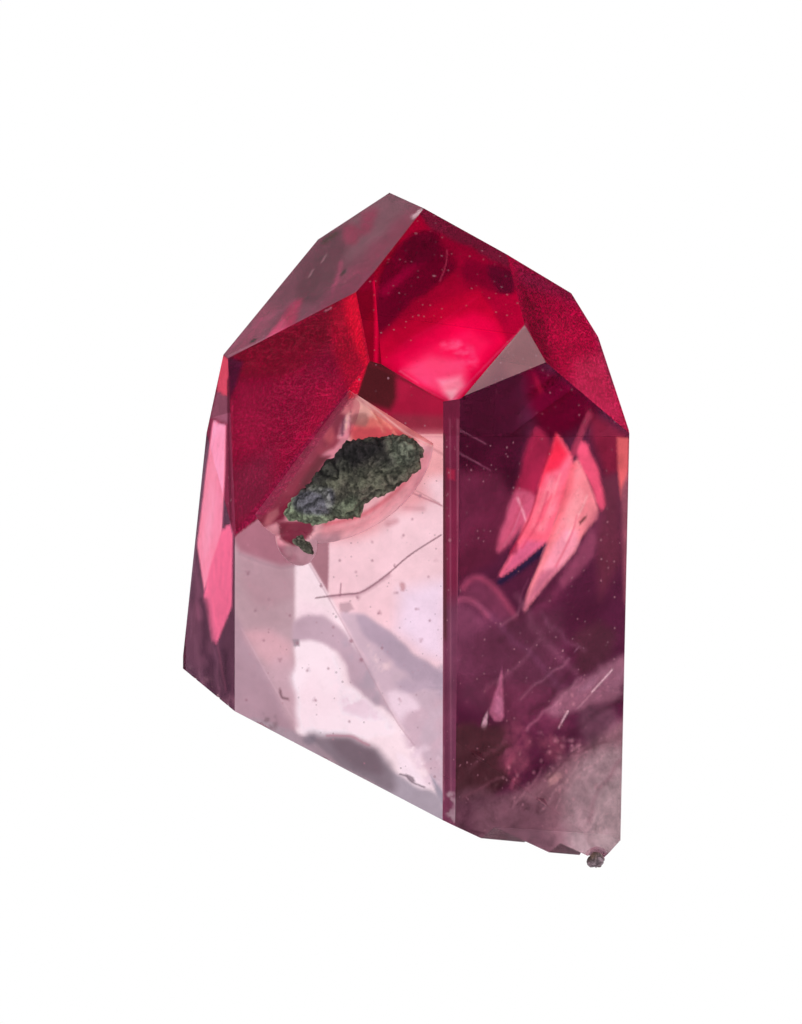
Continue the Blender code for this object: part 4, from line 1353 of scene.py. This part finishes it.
def make_crystal(material):
    """The skin with its tints, finishes and sharp edges, in place of the CAD crystal."""
    points, faces, owners, names, stretch = fine_skin()
    face_names = names[owners]
    hollow = np.zeros(len(points), bool)
    hollow[faces[face_names == "hollow"].ravel()] = True
    hollow[faces[face_names != "hollow"].ravel()] = False
    points = round_hollow(points, hollow)

    thing = mesh_object("crystal_skin", stand(points), faces, material)
    mesh = thing.data
    group = np.where(face_names == "hollow", HOLLOW_GROUP, stretch[owners])
    loops = np.empty(len(mesh.loops), np.int32)
    mesh.loops.foreach_get("edge_index", loops)
    lowest = np.full(len(mesh.edges), 1 << 30)
    highest = np.full(len(mesh.edges), -1)
    np.minimum.at(lowest, loops, np.repeat(group, 3))
    np.maximum.at(highest, loops, np.repeat(group, 3))
    sharp = mesh.attributes.new("sharp_edge", "BOOLEAN", "EDGE")
    sharp.data.foreach_set("value", lowest != highest)

    tints = np.full((len(faces), 3, 4), INNER_SHARE)
    tints[face_names == "hollow", :, 3] = HOLLOW_SHARE
    finishes = np.ones((len(faces), 3, 4))
    for name in np.unique(face_names):
        mine = face_names == name
        used, back = np.unique(faces[mine], return_inverse=True)
        tint, finish = paint_face(name, points[used])
        tints[mine, :, :3] = tint[back.reshape(-1, 3)]
        finishes[mine] = finish[back.reshape(-1, 3)]
    for label, values in (("tint", tints), ("finish", finishes)):
        layer = mesh.attributes.new(label, "FLOAT_COLOR", "CORNER")
        layer.data.foreach_set("color", values.ravel())
    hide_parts("crystal")
    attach(thing, "root")


# Rocks

KNOB_HEIGHT, BROAD_HEIGHT, SUNK = 0.24, 0.10, 0.12   # mm
KNOB_WAVES, BROAD_WAVES = 1.5, 0.8                   # a mm
FULL_GRAIN = 0.6                                     # a rock with smaller radii, in mm, has smaller knobs
CLUMP_OUTLINE = (
    (281, 516), (287, 502), (300, 491), (311, 477), (318, 466), (332, 455), (345, 441), (358, 440),
    (372, 438), (386, 434), (400, 437), (412, 441), (418, 452), (414, 466), (404, 476), (398, 486),
    (384, 493), (371, 499), (360, 503), (356, 515), (340, 521), (325, 520), (312, 525), (296, 523),
)
CRUMB_OUTLINE = ((294, 541), (299, 535), (305, 541), (311, 547), (312, 554), (305, 553), (300, 548))
BROWN, DULL_BROWN = "86727a", "645048"

# Name, CAD node, slot, centre, radii, points around and rows of them, seed, outline in the photograph
ROCKS_IN_HOLLOW = (
    ("rock_lump", "matrix_clump", "green_rock",
     (-0.08, -0.72, -0.55), (4.0, 1.75, 0.85), 300, 170, 3, CLUMP_OUTLINE),
    ("rock_crumb", "small_crumb", "green_rock",
     (-3.72, -2.45, -0.15), (0.42, 0.5, 0.34), 70, 44, 11, CRUMB_OUTLINE),
)
ROCK_AT_BASE = ("base_rock", "base_crumb", "brown_rock",
                (9.15, -4.95, -16.35), (0.45, 0.40, 0.34), 60, 40, 17, None)


def ball_grid(around, rows):
    """Unit directions on a closed grid of longitude and latitude, with its triangles."""
    turn = np.linspace(0.0, 2.0 * math.pi, around, endpoint=False)
    tilt = np.linspace(0.0, math.pi, rows + 1)[1:-1]
    lat, lon = np.meshgrid(tilt, turn, indexing="ij")
    ring = np.stack((np.sin(lat) * np.cos(lon), np.sin(lat) * np.sin(lon), np.cos(lat)), -1).reshape(-1, 3)
    points = np.vstack((ring, [[0, 0, 1.0]], [[0, 0, -1.0]]))
    index = np.arange((rows - 1) * around).reshape(rows - 1, around)
    right = np.roll(index, -1, axis=1)
    first = np.stack((index[:-1], index[1:], right[1:]), -1).reshape(-1, 3)
    second = np.stack((index[:-1], right[1:], right[:-1]), -1).reshape(-1, 3)
    top = np.stack((np.full(around, len(ring)), index[0], right[0]), -1)
    low = np.stack((np.full(around, len(ring) + 1), right[-1], index[-1]), -1)
    return points, np.vstack((first, second, top, low))


def photo_outline(corners, centre, radii):
    """Angles and sizes of an outline in pixels: its points on the front left face, in radii about centre."""
    middle, axes = hollow_axes()
    spots = even_steps(curve_through(np.array(corners, float), True), 2.0, True)
    local = (onto_face(spots, *face_planes()["front_left"]) - middle) @ axes.T
    share = (local[:, :2] - centre[:2]) / radii[:2]
    angle = np.arctan2(share[:, 1], share[:, 0])
    order = np.argsort(angle)
    return angle[order], np.hypot(*share[order].T)


def lumpy_rock(rock, middle, axes, material, paint_and_shade):
    """A ball stretched to radii and an outline, raised by knobs, in place of a CAD rock.

    Height of the skin over the ball, along its outward direction: |octave noise| of the place for knobs, plus
    broad octave noise, less what it is sunk by.
    """
    name, node, slot, centre, radii, around, rows, seed, outline = rock
    centre, radii = np.array(centre), np.array(radii)
    ball, faces = ball_grid(around, rows)
    shape = np.ones(len(ball))
    if outline:
        angles, sizes = photo_outline(outline, centre, radii)
        shape = np.interp(np.arctan2(ball[:, 1], ball[:, 0]), angles, sizes, period=2.0 * math.pi)
    local = ball * radii * np.column_stack((shape, shape, np.ones(len(ball)))) + centre
    grain = min(1.0, min(radii) / FULL_GRAIN)
    knobs = np.abs(octaves(local * KNOB_WAVES / grain + 9.0, seed + 7, 4, 0.6))
    broad = octaves(local * BROAD_WAVES / grain + 5.0, seed, 3)
    outward = ball / radii
    outward /= np.linalg.norm(outward, axis=1)[:, None]
    local = local + outward * (grain * (KNOB_HEIGHT * knobs + BROAD_HEIGHT * broad - SUNK))[:, None]
    points = middle + local @ axes
    placed = stand(points)
    placed[:, 2] = np.maximum(placed[:, 2], 0.0)
    thing = mesh_object(name, placed, faces, material)
    tint = np.ones((len(points), 4))
    # the tint holds the rock's colour with its painted shade and light
    tint[:, :3] = linear(paint_and_shade(points, knobs))
    layer = thing.data.attributes.new("tint", "FLOAT_COLOR", "POINT")
    layer.data.foreach_set("color", tint.ravel())
    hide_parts(node)
    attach(thing, "root")


def green_paint_and_shade(points, knobs):
    """Painted shade in its creases and its upper left; on its knobs painted light makes it paler, and it is
    greener.
    """
    spots = photo_place(points)
    colour = layered("6c665a", [
        # painted shade over its top and upper left
        area("2e272a", 14, (345, 436), (388, 430), (384, 452), (350, 470), (318, 486), (300, 494),
             (306, 470)),
        area("3c3838", 8, (372, 462), (392, 452), (404, 462), (388, 474), share=0.6, wobble=3),
        area("7c8272", 9, (388, 434), (414, 440), (414, 462), (398, 468), (392, 450), share=0.7, wobble=3),
        area("8b957c", 7, (278, 508), (294, 496), (306, 508), (330, 514), (318, 526), (284, 524), wobble=3),
        area("6b6874", 6, (296, 500), (312, 488), (330, 488), (334, 508), (316, 514), (300, 512), share=0.9,
             wobble=3),
        area("9a9894", 3, (308, 488), (316, 484), (328, 492), (332, 508), (327, 510), (322, 496), share=0.7,
             wobble=2),
        area("75806a", 9, (330, 506), (360, 498), (362, 514), (336, 522), share=0.7, wobble=3),
    ], spots)
    green = smooth(octaves(points * 1.3, 31, 3) + 0.3)
    colour += (screen("687058") - colour) * 0.35 * green[:, None]
    # painted shade in the creases and painted light on the knobs
    return colour * (0.68 + 0.42 * smooth(knobs / 0.7))[:, None]


def brown_paint_and_shade(points, knobs):
    """Dusky brown, with painted shade in its creases and painted light on its knobs."""
    dull = smooth(octaves(points * 2.0, 35, 2) + 0.5)
    colour = screen(BROWN) + (screen(DULL_BROWN) - screen(BROWN)) * dull[:, None]
    # painted shade in the creases and painted light on the knobs
    return colour * (0.8 + 0.35 * smooth(knobs / 0.6))[:, None]


# Stage, light and camera

FLOOR_GAP = 0.0001                                # below the break, so that light inside meets the skin first
FLOOR_SIZE = 2.0                                  # from its middle to its sides, in metres
LIGHT_THROUGH = 1.1                               # even light that passes through the crystal
SOFT_LIGHT = 0.7                                  # on what is not clear
DIM_LIGHT = 0.02                                  # mirrored by the outside, round the soft patches
SOFTBOXES = (                                     # these patches: direction, width in degrees, strength
    ((-0.487, 0.848, 0.209), 18.0, 0.2),
    ((0.31, -0.207, 0.93), 9.0, 1.6),
)
LAMP_THROUGH = ((0.79, 0.485, 0.36), 9.0, 1.76)   # shines through the crystal on to its left face
LAMP_FADE = 1.5                                   # widths at which a patch has faded out
BOUNCES = 24                                      # enough for light to cross the crystal many times
STRAY_LIMIT = 4.0                                 # brightest stray sample that counts


def light_kinds(tree):
    """Light Path's outputs for camera, transmission, glossy and diffuse rays."""
    outputs = tree.nodes.new("ShaderNodeLightPath").outputs
    return [outputs[f"Is {kind} Ray"] for kind in ("Camera", "Transmission", "Glossy", "Diffuse")]


def patch(tree, direction, lamp, base):
    """Base colour with a lamp's strength within its width of its direction: a smooth step of the cosine."""
    towards, width, strength = lamp
    along = vector_calc(tree, "DOT_PRODUCT", direction, towards).node.outputs["Value"]
    near = ramp(tree, along, math.cos(math.radians(width * LAMP_FADE)), math.cos(math.radians(width)))
    return blend(tree, near, base, grey(strength))


def studio_colour(tree, direction):
    """White for the camera, even and bright through the crystal, dim with soft patches in reflections."""
    camera, through, glossy, diffuse = light_kinds(tree)
    mirrored = grey(DIM_LIGHT)
    for lamp in SOFTBOXES:
        mirrored = patch(tree, direction, lamp, mirrored)
    colour = blend(tree, diffuse, grey(1.0), grey(SOFT_LIGHT))
    colour = blend(tree, glossy, colour, mirrored)
    colour = blend(tree, through, colour, patch(tree, direction, LAMP_THROUGH, grey(LIGHT_THROUGH)))
    return blend(tree, camera, colour, grey(1.0))


def make_floor():
    """A pale light table: a square that glows as the studio below it does."""
    material, tree, _ = start_material("pale_table")
    tree.nodes.clear()
    out = tree.nodes.new("ShaderNodeOutputMaterial")
    glow = put(tree, "ShaderNodeEmission", studio_colour(tree, (0.0, 0.0, -1.0)), 1.0)
    tree.links.new(glow, out.inputs["Surface"])
    corners = [(x * FLOOR_SIZE, y * FLOOR_SIZE, -FLOOR_GAP) for x, y in ((-1, -1), (1, -1), (1, 1), (-1, 1))]
    mesh_object("floor", corners, [(0, 1, 2, 3)], material)


def make_world():
    """The studio round the crystal."""
    world = bpy.data.worlds.new("studio")
    bpy.context.scene.world = world
    world.use_nodes = True
    tree = world.node_tree
    tree.nodes.clear()
    out = tree.nodes.new("ShaderNodeOutputWorld")
    direction = tree.nodes.new("ShaderNodeTexCoord").outputs["Generated"]
    back = put(tree, "ShaderNodeBackground", studio_colour(tree, direction))
    tree.links.new(back, out.inputs["Surface"])
    world.cycles.sampling_method = "NONE"


def make_camera():
    """A long lens level with the prism, rolled so that the leaning prism stands upright in the picture."""
    data = bpy.data.cameras.new("camera")
    data.sensor_width = SENSOR
    data.lens = SENSOR * CAMERA_AWAY / (PHOTO_HIGH * PIXEL)
    data.clip_start = NEAREST
    camera = bpy.data.objects.new("camera", data)
    bpy.context.collection.objects.link(camera)
    spot = stand([camera_place()])[0]
    look = STANDING @ Matrix.Rotation(math.radians(90.0), 4, "X")
    camera.matrix_world = Matrix.Translation(spot) @ look
    bpy.context.scene.camera = camera


def set_light_paths():
    """Colours as they are, and light that may cross the crystal many times."""
    scene = bpy.context.scene
    scene.view_settings.view_transform = "Standard"
    for kind in ("max_bounces", "transmission_bounces", "glossy_bounces", "transparent_max_bounces"):
        setattr(scene.cycles, kind, BOUNCES)
    scene.cycles.caustics_refractive = True
    scene.cycles.caustics_reflective = True
    scene.cycles.sample_clamp_indirect = STRAY_LIMIT


make_camera()
set_light_paths()
make_world()
make_floor()

upright_place = upright_group()
make_crystal(crystal_material(upright_place, etched_group(), speck_group()))
green_rock = rock_material("green_rock", upright_place)
for rock in ROCKS_IN_HOLLOW:
    lumpy_rock(rock, *hollow_axes(), green_rock, green_paint_and_shade)
lumpy_rock(ROCK_AT_BASE, np.zeros(3), np.eye(3), rock_material("brown_rock", upright_place), brown_paint_and_shade)
